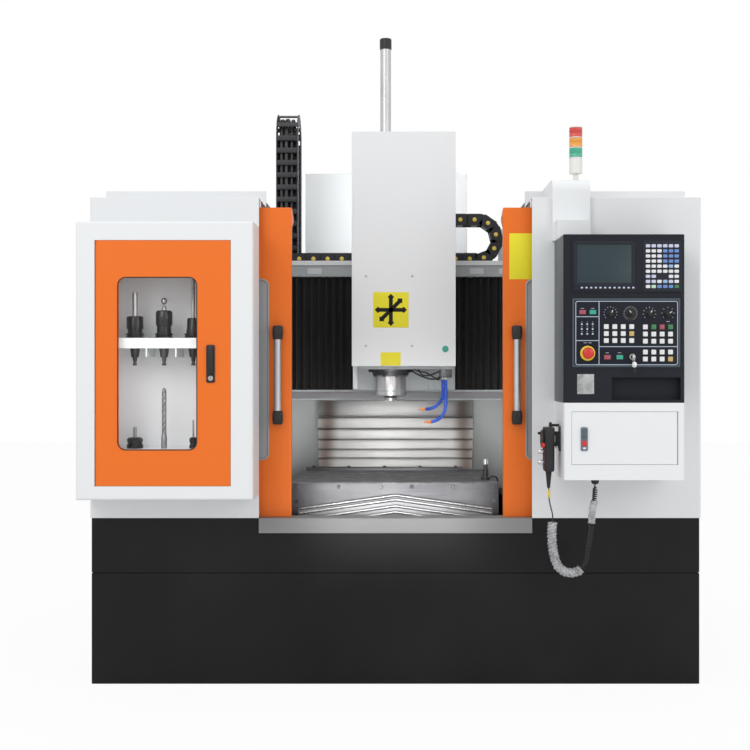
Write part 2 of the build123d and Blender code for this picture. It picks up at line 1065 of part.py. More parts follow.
# Balance tube on top of the head cover
with BuildPart() as balance_tube:
    post(tube_x, tube_depth, head_cover_top, tube_radius, tube_height)
    post(tube_x, tube_depth, head_cover_top + tube_height, tube_cap_radius, tube_cap_height)
balance_tube.part.label = "balance_tube"
export_step(balance_tube.part, "parts/balance_tube.step")


# Coolant block under the head, with two jointed hoses
with BuildPart() as coolant_hoses:
    block(
        (block_left, block_left + block_size),
        (block_front, block_front + block_size),
        (head_bottom - block_height, head_bottom),
    )
    for forward, reach, drop, nozzle in zip(hose_forward, hose_reach, hose_drop, hose_nozzle_reach):
        with BuildLine(front_plane(spindle_depth - forward)) as hose_line:
            FilletPolyline(
                (spindle_x + reach, head_bottom - hose_start_drop),
                (spindle_x + reach, head_bottom - drop),
                (spindle_x + nozzle, head_bottom - drop),
                radius=hose_bend,
            )
        with BuildSketch(Plane(hose_line.line @ 0, z_dir=hose_line.line % 0)):
            Circle(hose_radius)
        sweep(path=hose_line.line)
coolant_hoses.part.label = "coolant_hoses"
export_step(coolant_hoses.part, "parts/coolant_hoses.step")


def bellows(near, side):
    """Pleated curtain in the beam's channel, from the saddle outwards."""
    pitch = bellows_length / bellows_pleats
    start = near + side * running_gap
    points = [(start, back(bellows_back)), (start, back(bellows_front + bellows_fold))]
    for pleat in range(bellows_pleats):
        points.append((start + side * pitch * (pleat + 0.5), back(bellows_front)))
        points.append((start + side * pitch * (pleat + 1), back(bellows_front + bellows_fold)))
    points.append((start + side * bellows_length, back(bellows_back)))
    with BuildPart() as curtain:
        with BuildSketch(Plane.XY.offset(lip_bottom_top + running_gap)):
            add(outline(points))
        extrude(amount=lip_top_bottom - lip_bottom_top - 2 * running_gap)
    return curtain


left_bellows = bellows(saddle_left, -1)
left_bellows.part.label = "left_bellows"
export_step(left_bellows.part, "parts/left_bellows.step")

right_bellows = bellows(saddle_right, 1)
right_bellows.part.label = "right_bellows"
export_step(right_bellows.part, "parts/right_bellows.step")


# Tray: folded channel on the beam that the cable chain lies in
with BuildPart() as chain_tray:
    tray_front = beam_front - tray_overhang
    with BuildSketch(side_plane(-tray_half_length)):
        add(
            outline([
                (back(tray_front), beam_top),
                (back(tray_front), beam_top + tray_lip),
                (back(tray_front + tray_sheet), beam_top + tray_lip),
                (back(tray_front + tray_sheet), beam_top + tray_sheet),
                (back(tray_front + tray_depth - tray_sheet), beam_top + tray_sheet),
                (back(tray_front + tray_depth - tray_sheet), beam_top + tray_lip),
                (back(tray_front + tray_depth), beam_top + tray_lip),
                (back(tray_front + tray_depth), beam_top),
            ])
        )
    extrude(amount=2 * tray_half_length)
chain_tray.part.label = "chain_tray"
export_step(chain_tray.part, "parts/chain_tray.step")


def chain_band(middle_radius, link, first_leg, second_leg):
    """Side outline of a chain that runs along +x, bends back through a half turn and runs home.

    The first leg ends at local x 0 on the axis y 0, and the bend is centred above it.
    """
    outer = middle_radius + link / 2
    inner = middle_radius - link / 2
    with BuildSketch(mode=Mode.PRIVATE) as band:
        with BuildLine():
            start = Polyline((0, middle_radius * 2 + link / 2), (-second_leg, middle_radius * 2 + link / 2))
            end = Line(start @ 1, (-second_leg, middle_radius * 2 - link / 2))
            top = Line(end @ 1, (0, middle_radius * 2 - link / 2))
            inside = ThreePointArc(top @ 1, (inner, middle_radius), (0, link / 2))
            low = Polyline(inside @ 1, (-first_leg, link / 2), (-first_leg, -link / 2), (0, -link / 2))
            ThreePointArc(low @ 1, (outer, middle_radius), start @ 0)
        make_face()
    return band.sketch


def chain_stations(middle_radius, first_leg, second_leg):
    """Places of the chain's cross bars: local x, local y and heading in degrees, a pitch apart."""
    stations = []
    for number in range(int(first_leg // chain_pitch)):
        stations.append((-chain_pitch * (number + 0.5), 0, 0))
    bend_bars = max(2, round(pi * middle_radius / chain_pitch))
    for number in range(bend_bars):
        turn = (number + 0.5) * 180 / bend_bars
        x = middle_radius * sin(radians(turn))
        y = middle_radius - middle_radius * cos(radians(turn))
        stations.append((x, y, turn))
    for number in range(int(second_leg // chain_pitch)):
        stations.append((-chain_pitch * (number + 0.5), 2 * middle_radius, 180))
    return stations


def cable_chain(plane, middle_radius, link, width, first_leg, second_leg):
    """Cable chain on a plane: two side bands joined by a pair of cross bars at each link."""
    with BuildPart() as chain:
        for offset in (0, width - chain_side):
            with BuildSketch(plane.offset(offset)):
                add(chain_band(middle_radius, link, first_leg, second_leg))
            extrude(amount=chain_side)
        for x, y, turn in chain_stations(middle_radius, first_leg, second_leg):
            with BuildSketch(plane):
                with Locations(Location((x, y, 0), turn)):
                    bar_middle = (link - chain_bar) / 2 - chain_bar_inset
                    with Locations((0, bar_middle), (0, -bar_middle)):
                        Rectangle(chain_bar_length, chain_bar)
            extrude(amount=width)
    return chain


# Moving cable chain on the tray: its bend travels at half the saddle's speed
chain_middle_z = beam_top + tray_sheet + running_gap + chain_link_height / 2
chain_front = tray_front + (tray_depth - chain_width) / 2
chain_plane = Plane(
    origin=(chain_bend_x, back(chain_front + chain_width), chain_middle_z), x_dir=(1, 0, 0), z_dir=(0, -1, 0)
)
chain_lower_length = chain_bend_x + tray_half_length - chain_end_inset
x_chain = cable_chain(
    chain_plane, chain_bend_radius, chain_link_height, chain_width, chain_lower_length, chain_upper_length
)
x_chain.part.label = "x_chain"
export_step(x_chain.part, "parts/x_chain.step")


# Riser chain: stands on the beam's left end and turns over towards the back
riser_leg = riser_height - riser_bend_radius - riser_link / 2 - beam_top
riser_left = riser_inset - beam_half_length
riser_plane = Plane(
    origin=(riser_left + riser_width, back(riser_depth), beam_top + riser_leg),
    x_dir=(0, 0, 1),
    z_dir=(-1, 0, 0),
)
riser_chain = cable_chain(riser_plane, riser_bend_radius, riser_link, riser_width, riser_leg, riser_leg)
riser_chain.part.label = "riser_chain"
export_step(riser_chain.part, "parts/riser_chain.step")


# Rear cabinet: closed electrical cabinet behind the gantry, with a door seam and louvres
rear_cabinet_top = base_height + rear_cabinet_height
rear_cabinet_back = rear_cabinet_front + rear_cabinet_depth
with BuildPart() as rear_cabinet:
    block(
        (rear_cabinet_left, rear_cabinet_right),
        (rear_cabinet_front, rear_cabinet_back),
        (base_height, rear_cabinet_top),
    )
    rear_middle_x = (rear_cabinet_left + rear_cabinet_right) / 2
    rear_middle_z = (base_height + rear_cabinet_top) / 2
    seam_width = rear_cabinet_right - rear_cabinet_left - 2 * rear_seam_inset
    seam_height_span = rear_cabinet_height - 2 * rear_seam_inset
    with BuildSketch(front_plane(rear_cabinet_back)):
        with Locations((rear_middle_x, rear_middle_z)):
            Rectangle(seam_width, seam_height_span)
            Rectangle(
                seam_width - 2 * rear_seam, seam_height_span - 2 * rear_seam, mode=Mode.SUBTRACT
            )
    extrude(amount=rear_seam, mode=Mode.SUBTRACT)
    with BuildSketch(front_plane(rear_cabinet_back)):
        for number in range(louvre_count):
            with Locations((rear_middle_x, louvre_bottom + number * louvre_pitch)):
                Rectangle(louvre_width, louvre_height)
    extrude(amount=rear_seam, mode=Mode.SUBTRACT)
rear_cabinet.part.label = "rear_cabinet"
export_step(rear_cabinet.part, "parts/rear_cabinet.step")


# Tool cabinet: sheet box on the left housing, framed front, one holed shelf and one plain shelf
cabinet_left = -base_width / 2 - cabinet_overhang
cabinet_right = -doorway_half
cabinet_front = -cabinet_depth
cabinet_door_left = cabinet_left + cabinet_left_border
door_right = cabinet_right - cabinet_right_border
tool_xs = [cabinet_left + tool_first + tool_pitch * number for number in range(tool_count)]
latch_left = door_right - latch_inset
cabinet_door_top = cabinet_door_bottom + cabinet_door_height
pivot_x = cabinet_door_left + cabinet_door_thickness / 2
pivot_depth = cabinet_front + cabinet_door_thickness / 2
with BuildPart() as tool_cabinet:
    block((cabinet_left, cabinet_right), (cabinet_front, 0), (cabinet_bottom, cabinet_top))
    front_rim = tool_cabinet.faces().sort_by(Axis.Y)[0].edges()
    fillet(front_rim, cabinet_edge_radius)
    block(
        (cabinet_left + cabinet_sheet, cabinet_right - cabinet_sheet),
        (cabinet_front + cabinet_frame_depth, -cabinet_sheet),
        (cabinet_bottom + cabinet_sheet, cabinet_top - cabinet_sheet),
        Mode.SUBTRACT,
    )
    block(
        (cabinet_door_left - cabinet_door_gap, door_right + cabinet_door_gap),
        (cabinet_front, cabinet_front + cabinet_frame_depth),
        (cabinet_door_bottom - cabinet_door_gap, cabinet_door_top + cabinet_door_gap),
        Mode.SUBTRACT,
    )
    post(
        pivot_x, pivot_depth, cabinet_door_bottom - cabinet_door_gap - pivot_length,
        pivot_radius + running_gap, pivot_length, Mode.SUBTRACT,
    )
    post(
        pivot_x, pivot_depth, cabinet_door_top + cabinet_door_gap,
        pivot_radius + running_gap, pivot_length, Mode.SUBTRACT,
    )
    inside = (cabinet_left + cabinet_sheet, cabinet_right - cabinet_sheet)
    shelf_front = cabinet_front + cabinet_frame_depth + shelf_front_gap
    block(inside, (shelf_front, -cabinet_sheet), (shelf_top - shelf_sheet, shelf_top))
    block(inside, (shelf_front, shelf_front + shelf_sheet), (shelf_top - shelf_lip, shelf_top))
    block(
        inside, (shelf_front, -cabinet_sheet), (lower_shelf_top - shelf_sheet, lower_shelf_top)
    )
    for first_x, second_x in zip(tool_xs, tool_xs[1:]):
        rib_x = (first_x + second_x) / 2
        block(
            (rib_x - rib_width / 2, rib_x + rib_width / 2),
            (shelf_front, -cabinet_sheet),
            (shelf_top - shelf_lip - rib_drop, shelf_top - shelf_sheet),
        )
    for tool_x in tool_xs:
        post(
            tool_x, tool_depth, shelf_top - shelf_sheet, shelf_hole_radius, shelf_sheet, Mode.SUBTRACT
        )
tool_cabinet.part.label = "tool_cabinet"
export_step(tool_cabinet.part, "parts/tool_cabinet.step")


# Tool holders in the shelf: shank and stud below it, flange, body and cutter above it
with BuildPart() as upper_tools:
    for tool_x, body, cutter, cutter_radius in zip(
        tool_xs, holder_heights, cutter_lengths, cutter_radii
    ):
        waist_top = flange_height + waist_height
        post(tool_x, tool_depth, shelf_top, flange_radius, flange_height)
        post(tool_x, tool_depth, shelf_top + flange_height, holder_waist_radius, waist_height)
        post(tool_x, tool_depth, shelf_top + waist_top, holder_radius, body - waist_top)
        post(tool_x, tool_depth, shelf_top + body, cutter_radius, cutter)
        cone_post(
            tool_x, tool_depth, shelf_top - shank_length, taper_bottom_radius, taper_top_radius,
            shank_length,
        )
        post(tool_x, tool_depth, shelf_top - shank_length - stud_length, stud_radius, stud_length)
upper_tools.part.label = "upper_tools"
export_step(upper_tools.part, "parts/upper_tools.step")


# Loose tools on the lower shelf: a collet nut with its cutter, a long drill and a small holder
with BuildPart() as lower_tools:
    for tool_x, radius, height, cutter_radius, cutter in zip(
        tool_xs, lower_tool_radii, lower_tool_heights, lower_cutter_radii, lower_cutter_lengths
    ):
        post(tool_x, tool_depth, lower_shelf_top, radius, height)
        post(tool_x, tool_depth, lower_shelf_top + height, cutter_radius, cutter)
lower_tools.part.label = "lower_tools"
export_step(lower_tools.part, "parts/lower_tools.step")


# Cabinet door: thick panel with a rounded hinge edge, two pivots and a rebate for the pane
window_left = cabinet_door_left + cabinet_window_inset
cabinet_window_width = door_right - cabinet_window_right_border - window_left
window_middle_x = window_left + cabinet_window_width / 2
window_middle_z = cabinet_window_bottom + cabinet_window_height / 2
with BuildPart() as cabinet_door:
    block(
        (cabinet_door_left, door_right),
        (cabinet_front, cabinet_front + cabinet_door_thickness),
        (cabinet_door_bottom, cabinet_door_top),
    )
    hinge_edges = cabinet_door.edges().filter_by(Axis.Z).sort_by(Axis.X)[:2]
    fillet(hinge_edges, cabinet_door_thickness / 2 - hinge_round_margin)
    with BuildSketch(front_plane(cabinet_front)):
        with Locations((window_middle_x, window_middle_z)):
            RectangleRounded(cabinet_window_width, cabinet_window_height, cabinet_window_radius)
    extrude(amount=-cabinet_door_thickness, mode=Mode.SUBTRACT)
    pane_front = cabinet_front + cabinet_door_thickness - cabinet_pane_thickness
    pane_half_width = cabinet_window_width / 2 + cabinet_pane_lap
    pane_half_height = cabinet_window_height / 2 + cabinet_pane_lap
    block(
        (window_middle_x - pane_half_width, window_middle_x + pane_half_width),
        (pane_front, cabinet_front + cabinet_door_thickness),
        (window_middle_z - pane_half_height, window_middle_z + pane_half_height),
        Mode.SUBTRACT,
    )
    pivot_height = cabinet_door_gap + pivot_length - running_gap
    post(pivot_x, pivot_depth, cabinet_door_bottom - pivot_height, pivot_radius, pivot_height)
    post(pivot_x, pivot_depth, cabinet_door_top, pivot_radius, pivot_height)
    peg(
        latch_left + latch_width / 2, cabinet_front, latch_bottom + latch_height - latch_width / 2,
        latch_pin_radius + running_gap, latch_plate + 2 * running_gap, Mode.SUBTRACT,
    )
cabinet_door.part.label = "cabinet_door"
export_step(cabinet_door.part, "parts/cabinet_door.step")


with BuildPart() as cabinet_window:
    block(
        (window_middle_x - pane_half_width, window_middle_x + pane_half_width),
        (pane_front, cabinet_front + cabinet_door_thickness),
        (window_middle_z - pane_half_height, window_middle_z + pane_half_height),
    )
cabinet_window.part.label = "cabinet_window"
export_step(cabinet_window.part, "parts/cabinet_window.step")


def swing_latch(left, width, bottom, height, face_depth):
    """Lever latch that turns about a pin at its upper end, on a door's front face."""
    x = left + width / 2
    pin_z = bottom + height - width / 2
    with BuildPart() as latch:
        with BuildSketch(front_plane(face_depth - running_gap)):
            with Locations((x, bottom + height / 2)):
                RectangleRounded(width, height, width / 6)
        extrude(amount=latch_lever)
        peg(x, face_depth - running_gap, pin_z, latch_pin_radius, latch_plate + running_gap)
    return latch


# Cabinet latch, with its pin in the door
cabinet_latch = swing_latch(latch_left, latch_width, latch_bottom, latch_height, cabinet_front)
cabinet_latch.part.label = "cabinet_latch"
export_step(cabinet_latch.part, "parts/cabinet_latch.step")


# Control cabinet: white box with an open compartment behind a side-hinged door
compartment_pivot = compartment_door_thickness / 2
compartment_pivot_x = pocket_right - compartment_pivot
compartment_pivot_depth = control_front + compartment_pivot
with BuildPart() as control_cabinet:
    block((control_left, control_right), (control_front, 0), (control_bottom, control_split))
    fillet(control_cabinet.faces().sort_by(Axis.Y)[0].edges().filter_by(Axis.Z), control_edge_radius)
    block(
        (pocket_left - compartment_gap, pocket_right + compartment_gap),
        (control_front, control_front + pocket_depth),
        (pocket_bottom - compartment_gap, pocket_top + compartment_gap),
        Mode.SUBTRACT,
    )
    for pivot_bottom in (pocket_bottom - compartment_gap - pivot_length, pocket_top + compartment_gap):
        post(
            compartment_pivot_x, compartment_pivot_depth, pivot_bottom, pivot_radius + running_gap,
            pivot_length, Mode.SUBTRACT,
        )
control_cabinet.part.label = "control_cabinet"
export_step(control_cabinet.part, "parts/control_cabinet.step")


# Compartment door: flush panel with a rounded hinge edge and two pivots
with BuildPart() as compartment_door:
    block(
        (pocket_left, pocket_right),
        (control_front, control_front + compartment_door_thickness),
        (pocket_bottom, pocket_top),
    )
    hinge_edges = compartment_door.edges().filter_by(Axis.Z).sort_by(Axis.X)[-2:]
    fillet(hinge_edges, compartment_pivot - hinge_round_margin)
    compartment_pin = compartment_gap + pivot_length - running_gap
    for pin_bottom in (pocket_bottom - compartment_pin, pocket_top):
        post(compartment_pivot_x, compartment_pivot_depth, pin_bottom, pivot_radius, compartment_pin)
    peg(
        compartment_latch_left + compartment_latch_width / 2, control_front,
        compartment_latch_bottom + compartment_latch_height - compartment_latch_width / 2,
        latch_pin_radius + running_gap, latch_plate + 2 * running_gap, Mode.SUBTRACT,
    )
compartment_door.part.label = "compartment_door"
export_step(compartment_door.part, "parts/compartment_door.step")


compartment_latch = swing_latch(
    compartment_latch_left, compartment_latch_width, compartment_latch_bottom, compartment_latch_height,
    control_front,
)
compartment_latch.part.label = "compartment_latch"
export_step(compartment_latch.part, "parts/compartment_latch.step")


# Console: box above the white cabinet that carries the control unit and the operator panel
with BuildPart() as console_body:
    block((control_left, control_right), (control_front, 0), (control_split, control_top))
    fillet(console_body.faces().sort_by(Axis.Y)[0].edges().filter_by(Axis.Z), control_edge_radius)
    block(
        (recess_left, recess_right), (control_front, control_front + recess_depth),
        (recess_bottom, recess_top), Mode.SUBTRACT,
    )
    peg(
        stop_x, control_front, stop_z, stop_stem_radius + running_gap, stop_travel_room + stem_length,
        Mode.SUBTRACT,
    )
    for knob_x in (feed_knob_x, speed_knob_x):
        peg(knob_x, control_front, knob_z, stem_radius + running_gap, stem_length, Mode.SUBTRACT)
    peg(lock_x, control_front, lock_z, plug_radius + running_gap, stem_length, Mode.SUBTRACT)
console_body.part.label = "console_body"
export_step(console_body.part, "parts/console_body.step")


# Control unit: bezel with a sunk screen, a row of soft keys and a keyboard
nc_front = control_front - nc_proud
with BuildPart() as nc_unit:
    block((nc_left, nc_right), (nc_front, control_front), (nc_bottom, nc_top))
    block(
        (screen_left, screen_right), (nc_front, nc_front + screen_recess), (screen_bottom, screen_top),
        Mode.SUBTRACT,
    )
    with BuildSketch(front_plane(nc_front)):
        for number in range(soft_key_count):
            with Locations((soft_key_left + soft_key_pitch * number, soft_key_z)):
                Rectangle(soft_key_size, soft_key_size)
        for row in range(key_rows):
            for column in range(key_columns):
                if row != open_key_row or column not in open_key_columns:
                    with Locations((key_left + key_pitch_x * column, key_top - key_pitch_z * row)):
                        Rectangle(key_width, key_height)
    extrude(amount=key_proud)
nc_unit.part.label = "nc_unit"
export_step(nc_unit.part, "parts/nc_unit.step")


# Operator panel: plate with its buttons, fixed knobs, stop ring and lock ring
panel_front = control_front - panel_proud
with BuildPart() as operator_panel:
    block((panel_left, panel_right), (panel_front, control_front), (panel_bottom, panel_top))
    with BuildSketch(front_plane(panel_front)):
        button_grids = (left_button_grid, right_button_grid, lower_button_grid)
        for (first_x, step_x, first_z, step_z), rows in zip(button_grids, button_rows):
            for row in range(rows):
                for column in range(button_column_count):
                    with Locations((first_x + step_x * column, first_z - step_z * row)):
                        Rectangle(button_size, button_size)
        for wide_x, wide_z in wide_buttons:
            with Locations((wide_x, wide_z)):
                Rectangle(wide_button_width, wide_button_height)
    extrude(amount=button_proud)
    for knob_x in fixed_knob_xs:
        peg(knob_x, panel_front - knob_length, knob_z, knob_radius, knob_length)
    peg(stop_x, panel_front - stop_ring_height, stop_z, stop_ring_radius, stop_ring_height)
    peg(
        stop_x, panel_front - stop_ring_height, stop_z, stop_stem_radius + running_gap,
        stop_ring_height + panel_proud, Mode.SUBTRACT,
    )
    peg(lock_x, panel_front - lock_height, lock_z, lock_radius, lock_height)
    peg(
        lock_x, panel_front - lock_height, lock_z, plug_radius + running_gap, lock_height + panel_proud,
        Mode.SUBTRACT,
    )
    for knob_x in (feed_knob_x, speed_knob_x):
        peg(knob_x, panel_front, knob_z, stem_radius + running_gap, panel_proud, Mode.SUBTRACT)
operator_panel.part.label = "operator_panel"
export_step(operator_panel.part, "parts/operator_panel.step")


# Emergency stop: mushroom head on a stem that slides into the console
with BuildPart() as e_stop:
    stop_under = panel_front - stop_ring_height - stop_travel_room
    peg(stop_x, stop_under - stop_head_length, stop_z, stop_head_radius, stop_head_length)
    chamfer(e_stop.faces().sort_by(Axis.Y)[0].edges(), stop_head_chamfer)
    peg(stop_x, stop_under, stop_z, stop_stem_radius, stop_travel_room + stop_ring_height + stem_length)
e_stop.part.label = "e_stop"
export_step(e_stop.part, "parts/e_stop.step")


def rotary_knob(x):
    """Skirted knob with a flat pointer ridge, on a stem that turns in the console."""
    face = panel_front - running_gap
    with BuildPart() as knob:
        peg(x, face - knob_length, knob_z, knob_radius, knob_length)
        block(
            (x - knob_pointer / 2, x + knob_pointer / 2),
            (face - knob_length - knob_pointer / 2, face - knob_length),
            (knob_z - knob_radius * 0.9, knob_z + knob_radius * 0.9),
        )
        peg(x, face, knob_z, stem_radius, stem_length)
    return knob


feed_knob = rotary_knob(feed_knob_x)
feed_knob.part.label = "feed_knob"
export_step(feed_knob.part, "parts/feed_knob.step")

speed_knob = rotary_knob(speed_knob_x)
speed_knob.part.label = "speed_knob"
export_step(speed_knob.part, "parts/speed_knob.step")


# Key in its lock, with a flat bow that stands out of the ring
with BuildPart() as key_switch:
    lock_face = panel_front - lock_height
    peg(lock_x, lock_face - knob_pointer, lock_z, plug_radius, knob_pointer + stem_length)
    block(
        (lock_x - key_bow_sheet / 2, lock_x + key_bow_sheet / 2),
        (lock_face - knob_pointer - key_bow_width, lock_face - knob_pointer),
        (lock_z - key_bow_height / 2, lock_z + key_bow_height / 2),
    )
key_switch.part.label = "key_switch"
export_step(key_switch.part, "parts/key_switch.step")


# Cable duct: bent hood up the housing's front and back over its roof, with a foot on the console
duct_front = -duct_proud
duct_roof_end = duct_end - duct_radius
with BuildPart() as cable_duct:
    with BuildSketch(side_plane(duct_left)):
        with BuildLine():
            rise = Polyline(
                (back(0), housing_front_top), (back(0), control_top), (back(duct_front), control_top),
                (back(duct_front), duct_top - duct_radius),
            )
            crown = RadiusArc(rise @ 1, (back(duct_front + duct_radius), duct_top), duct_radius)
            run = Line(crown @ 1, (back(duct_roof_end), duct_top))
            Polyline(
                run @ 1,
                (back(duct_end), housing_rear_top),
                (back(housing_step_depth), housing_rear_top),
                (back(housing_step_depth), housing_front_top),
                (back(0), housing_front_top),
            )
        make_face()
    extrude(amount=duct_right - duct_left)
    block(
        (duct_foot_left, duct_foot_right), (duct_front - duct_foot_depth, duct_front),
        (control_top, duct_foot_top),
    )
cable_duct.part.label = "cable_duct"
export_step(cable_duct.part, "parts/cable_duct.step")


# Signal tower: flared foot, thin neck and body, with a post up through three lenses
tower_body_bottom = duct_top + tower_neck_height
lens_start = tower_body_bottom + tower_body_height
lens_pitch = lens_height + lens_gap
lenses_end = lens_start + 3 * lens_pitch
with BuildPart() as tower_stem:
    cone_post(tower_x, tower_depth, duct_top, tower_foot_radius, tower_neck_radius, tower_neck_height / 2)
    post(
        tower_x, tower_depth, duct_top + tower_neck_height / 2, tower_neck_radius, tower_neck_height / 2
    )
    post(tower_x, tower_depth, tower_body_bottom, tower_body_radius, tower_body_height)
    post(tower_x, tower_depth, lens_start, tower_post_radius, lenses_end - lens_start)
    post(tower_x, tower_depth, lenses_end, tower_body_radius, tower_cap_height)
tower_stem.part.label = "tower_stem"
export_step(tower_stem.part, "parts/tower_stem.step")


with BuildPart() as tower_lenses:
    for number in range(3):
        lens_bottom = lens_start + lens_pitch * number + lens_gap / 2
        post(tower_x, tower_depth, lens_bottom, tower_body_radius, lens_height)
        post(tower_x, tower_depth, lens_bottom, tower_post_radius + lens_gap, lens_height, Mode.SUBTRACT)
tower_lenses.part.label = "tower_lenses"
export_step(tower_lenses.part, "parts/tower_lenses.step")


# Pendant: hand unit with two selector knobs and a strain relief below it
pendant_middle = (pendant_left + pendant_right) / 2
with BuildPart() as pendant_body:
    with BuildSketch(Plane.XY.offset(pendant_bottom)):
        with Locations((pendant_middle, back(pendant_depth))):
            RectangleRounded(pendant_right - pendant_left, pendant_width, pendant_edge_radius)
    extrude(amount=pendant_top - pendant_bottom)
    for selector_z in selector_zs:
        with BuildSketch(side_plane(pendant_left)):
            with Locations((back(pendant_depth), selector_z)):
                Circle(selector_radius)
        extrude(amount=-selector_length)
    with BuildSketch(side_plane(pendant_left)):
        with Locations((back(pendant_depth), wheel_z)):
            Circle(wheel_stem_radius)
    extrude(amount=-wheel_stem_length)
    cone_post(
        pendant_middle, pendant_depth, pendant_bottom - relief_length, relief_bottom_radius,
        relief_top_radius, relief_length,
    )
pendant_body.part.label = "pendant_body"
export_step(pendant_body.part, "parts/pendant_body.step")


# Handwheel: disc on the pendant's stub, with its crank handle near the rim
with BuildPart() as handwheel:
    wheel_face = pendant_left - running_gap
    with BuildSketch(side_plane(wheel_face)):
        with Locations((back(pendant_depth), wheel_z)):
            Circle(wheel_radius)
            Circle(wheel_stem_radius + running_gap, mode=Mode.SUBTRACT)
    extrude(amount=-wheel_thickness)
    with BuildSketch(side_plane(wheel_face - wheel_thickness)):
        with Locations((back(pendant_depth), wheel_z + crank_offset)):
            Circle(crank_radius)
    extrude(amount=-crank_length)
handwheel.part.label = "handwheel"
export_step(handwheel.part, "parts/handwheel.step")


# Pendant holder: bracket between the box's side and the pendant's back
with BuildPart() as pendant_holder:
    block(
        (pendant_right, control_left),
        (pendant_depth - holder_width / 2, pendant_depth + holder_width / 2),
        (holder_bottom, pendant_top),
    )
    block(
        (pendant_middle - pendant_hook_radius, control_left),
        (pendant_depth - pendant_hook_radius, pendant_depth + pendant_hook_radius),
        (pendant_top, pendant_top + pendant_hook_height),
    )
pendant_holder.part.label = "pendant_holder"
export_step(pendant_holder.part, "parts/pendant_holder.step")


# Cord gland under the control cabinet
with BuildPart() as cord_gland:
    post(gland_x, pendant_depth, control_bottom - gland_height, gland_radius, gland_height)
cord_gland.part.label = "cord_gland"
export_step(cord_gland.part, "parts/cord_gland.step")


def route_radii(points):
    """Arc radius at each inner point, as large as the two runs beside it allow."""
    places = [Vector(x, z) for x, z in points]
    radii = []
    for before, corner, after in zip(places, places[1:], places[2:]):
        turn = (corner - before).get_angle(after - corner)
        shorter = min((corner - before).length, (after - corner).length)
        radii.append(0.45 * shorter / tan(radians(turn / 2)))
    return radii


def cord_tube(points, diameter, name):
    """Tube along a route of straight runs and tangent arcs, in the plane of the pendant."""
    radii = route_radii(points)
    with BuildPart() as tube:
        with BuildLine(front_plane(pendant_depth)) as route:
            FilletPolyline(*points, radius=radii)
        with BuildSketch(Plane(route.line @ 0, z_dir=route.line % 0)):
            Circle(diameter / 2)
        sweep(path=route.line)
    length = route.wires()[0].length
    expected = pi * (diameter / 2) ** 2 * length
    print(name, "radii", [round(radius) for radius in radii])
    print(name, "length", round(length, 1), "volume ratio", tube.part.volume / expected)
    return tube


pendant_lead = cord_tube(lead_points, lead_diameter, "pendant_lead")
pendant_lead.part.label = "pendant_lead"
export_step(pendant_lead.part, "parts/pendant_lead.step")

pendant_cord = cord_tube(cord_points, cord_diameter, "pendant_cord")
pendant_cord.part.label = "pendant_cord"
export_step(pendant_cord.part, "parts/pendant_cord.step")
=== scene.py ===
"""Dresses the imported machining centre: finishes for its solids, and detailed pieces where looks need them.

All places are written in millimetres as (x, depth, z). Depth runs back from the base's front face.
"""

import json
import logging
import math
from dataclasses import dataclass
from enum import Enum
from functools import cache
from typing import Optional, Sequence

import bmesh
import bpy
import numpy as np
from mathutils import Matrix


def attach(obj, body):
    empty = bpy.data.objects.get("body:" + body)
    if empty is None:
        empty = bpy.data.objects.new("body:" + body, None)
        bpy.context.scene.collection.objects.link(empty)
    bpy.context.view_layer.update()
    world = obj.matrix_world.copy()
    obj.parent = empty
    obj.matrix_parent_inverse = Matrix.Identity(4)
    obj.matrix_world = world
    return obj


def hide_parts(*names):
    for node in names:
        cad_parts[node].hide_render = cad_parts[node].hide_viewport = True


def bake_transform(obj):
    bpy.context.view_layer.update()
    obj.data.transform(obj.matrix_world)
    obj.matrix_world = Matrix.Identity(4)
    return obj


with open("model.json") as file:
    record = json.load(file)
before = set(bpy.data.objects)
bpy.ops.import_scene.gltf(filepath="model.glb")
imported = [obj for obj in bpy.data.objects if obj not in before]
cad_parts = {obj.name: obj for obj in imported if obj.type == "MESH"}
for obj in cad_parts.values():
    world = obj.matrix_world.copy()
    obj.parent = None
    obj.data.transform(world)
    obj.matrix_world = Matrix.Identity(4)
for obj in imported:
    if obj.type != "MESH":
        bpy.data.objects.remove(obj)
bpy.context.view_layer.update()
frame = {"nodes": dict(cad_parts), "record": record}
LOG = logging.getLogger("machining_centre")
BASE_HALF_DEPTH = 850.0
MM = 0.001
SHARP_EDGE = 38.0
BEVEL_EDGE = 35.0
FLAT_ENOUGH = 0.6

Triple = tuple[float, float, float]
Pair = tuple[float, float]
Places = np.ndarray | Sequence[Pair]
Node = bpy.types.Node
Socket = bpy.types.NodeSocket
Tree = bpy.types.NodeTree

# Places and curves


def to_row(points: np.ndarray | Triple) -> np.ndarray:
    """Row-frame metres of places in (x, depth, z) millimetres: y is the depth less half the base's."""
    return (np.asarray(points, float) - (0.0, BASE_HALF_DEPTH, 0.0)) * MM


def circle(count: int) -> np.ndarray:
    """Even angles round a full turn, in radians."""
    return np.arange(count) * 2 * math.pi / count


def polar(angles: np.ndarray) -> np.ndarray:
    """Points (cos a, sin a) of the unit circle."""
    return np.stack([np.cos(angles), np.sin(angles)], axis=-1)


def clock(turns: np.ndarray, radius: float, middle: Pair) -> np.ndarray:
    """Places on a circle at clockwise angles from its top, as u and v."""
    return radius * np.stack([np.sin(turns), np.cos(turns)], axis=-1) + middle


def join(x: np.ndarray | float, depth: np.ndarray | float, z: np.ndarray | float) -> np.ndarray:
    """Points from three coordinates whose shapes fit together."""
    return np.stack(np.broadcast_arrays(x, depth, z), axis=-1)


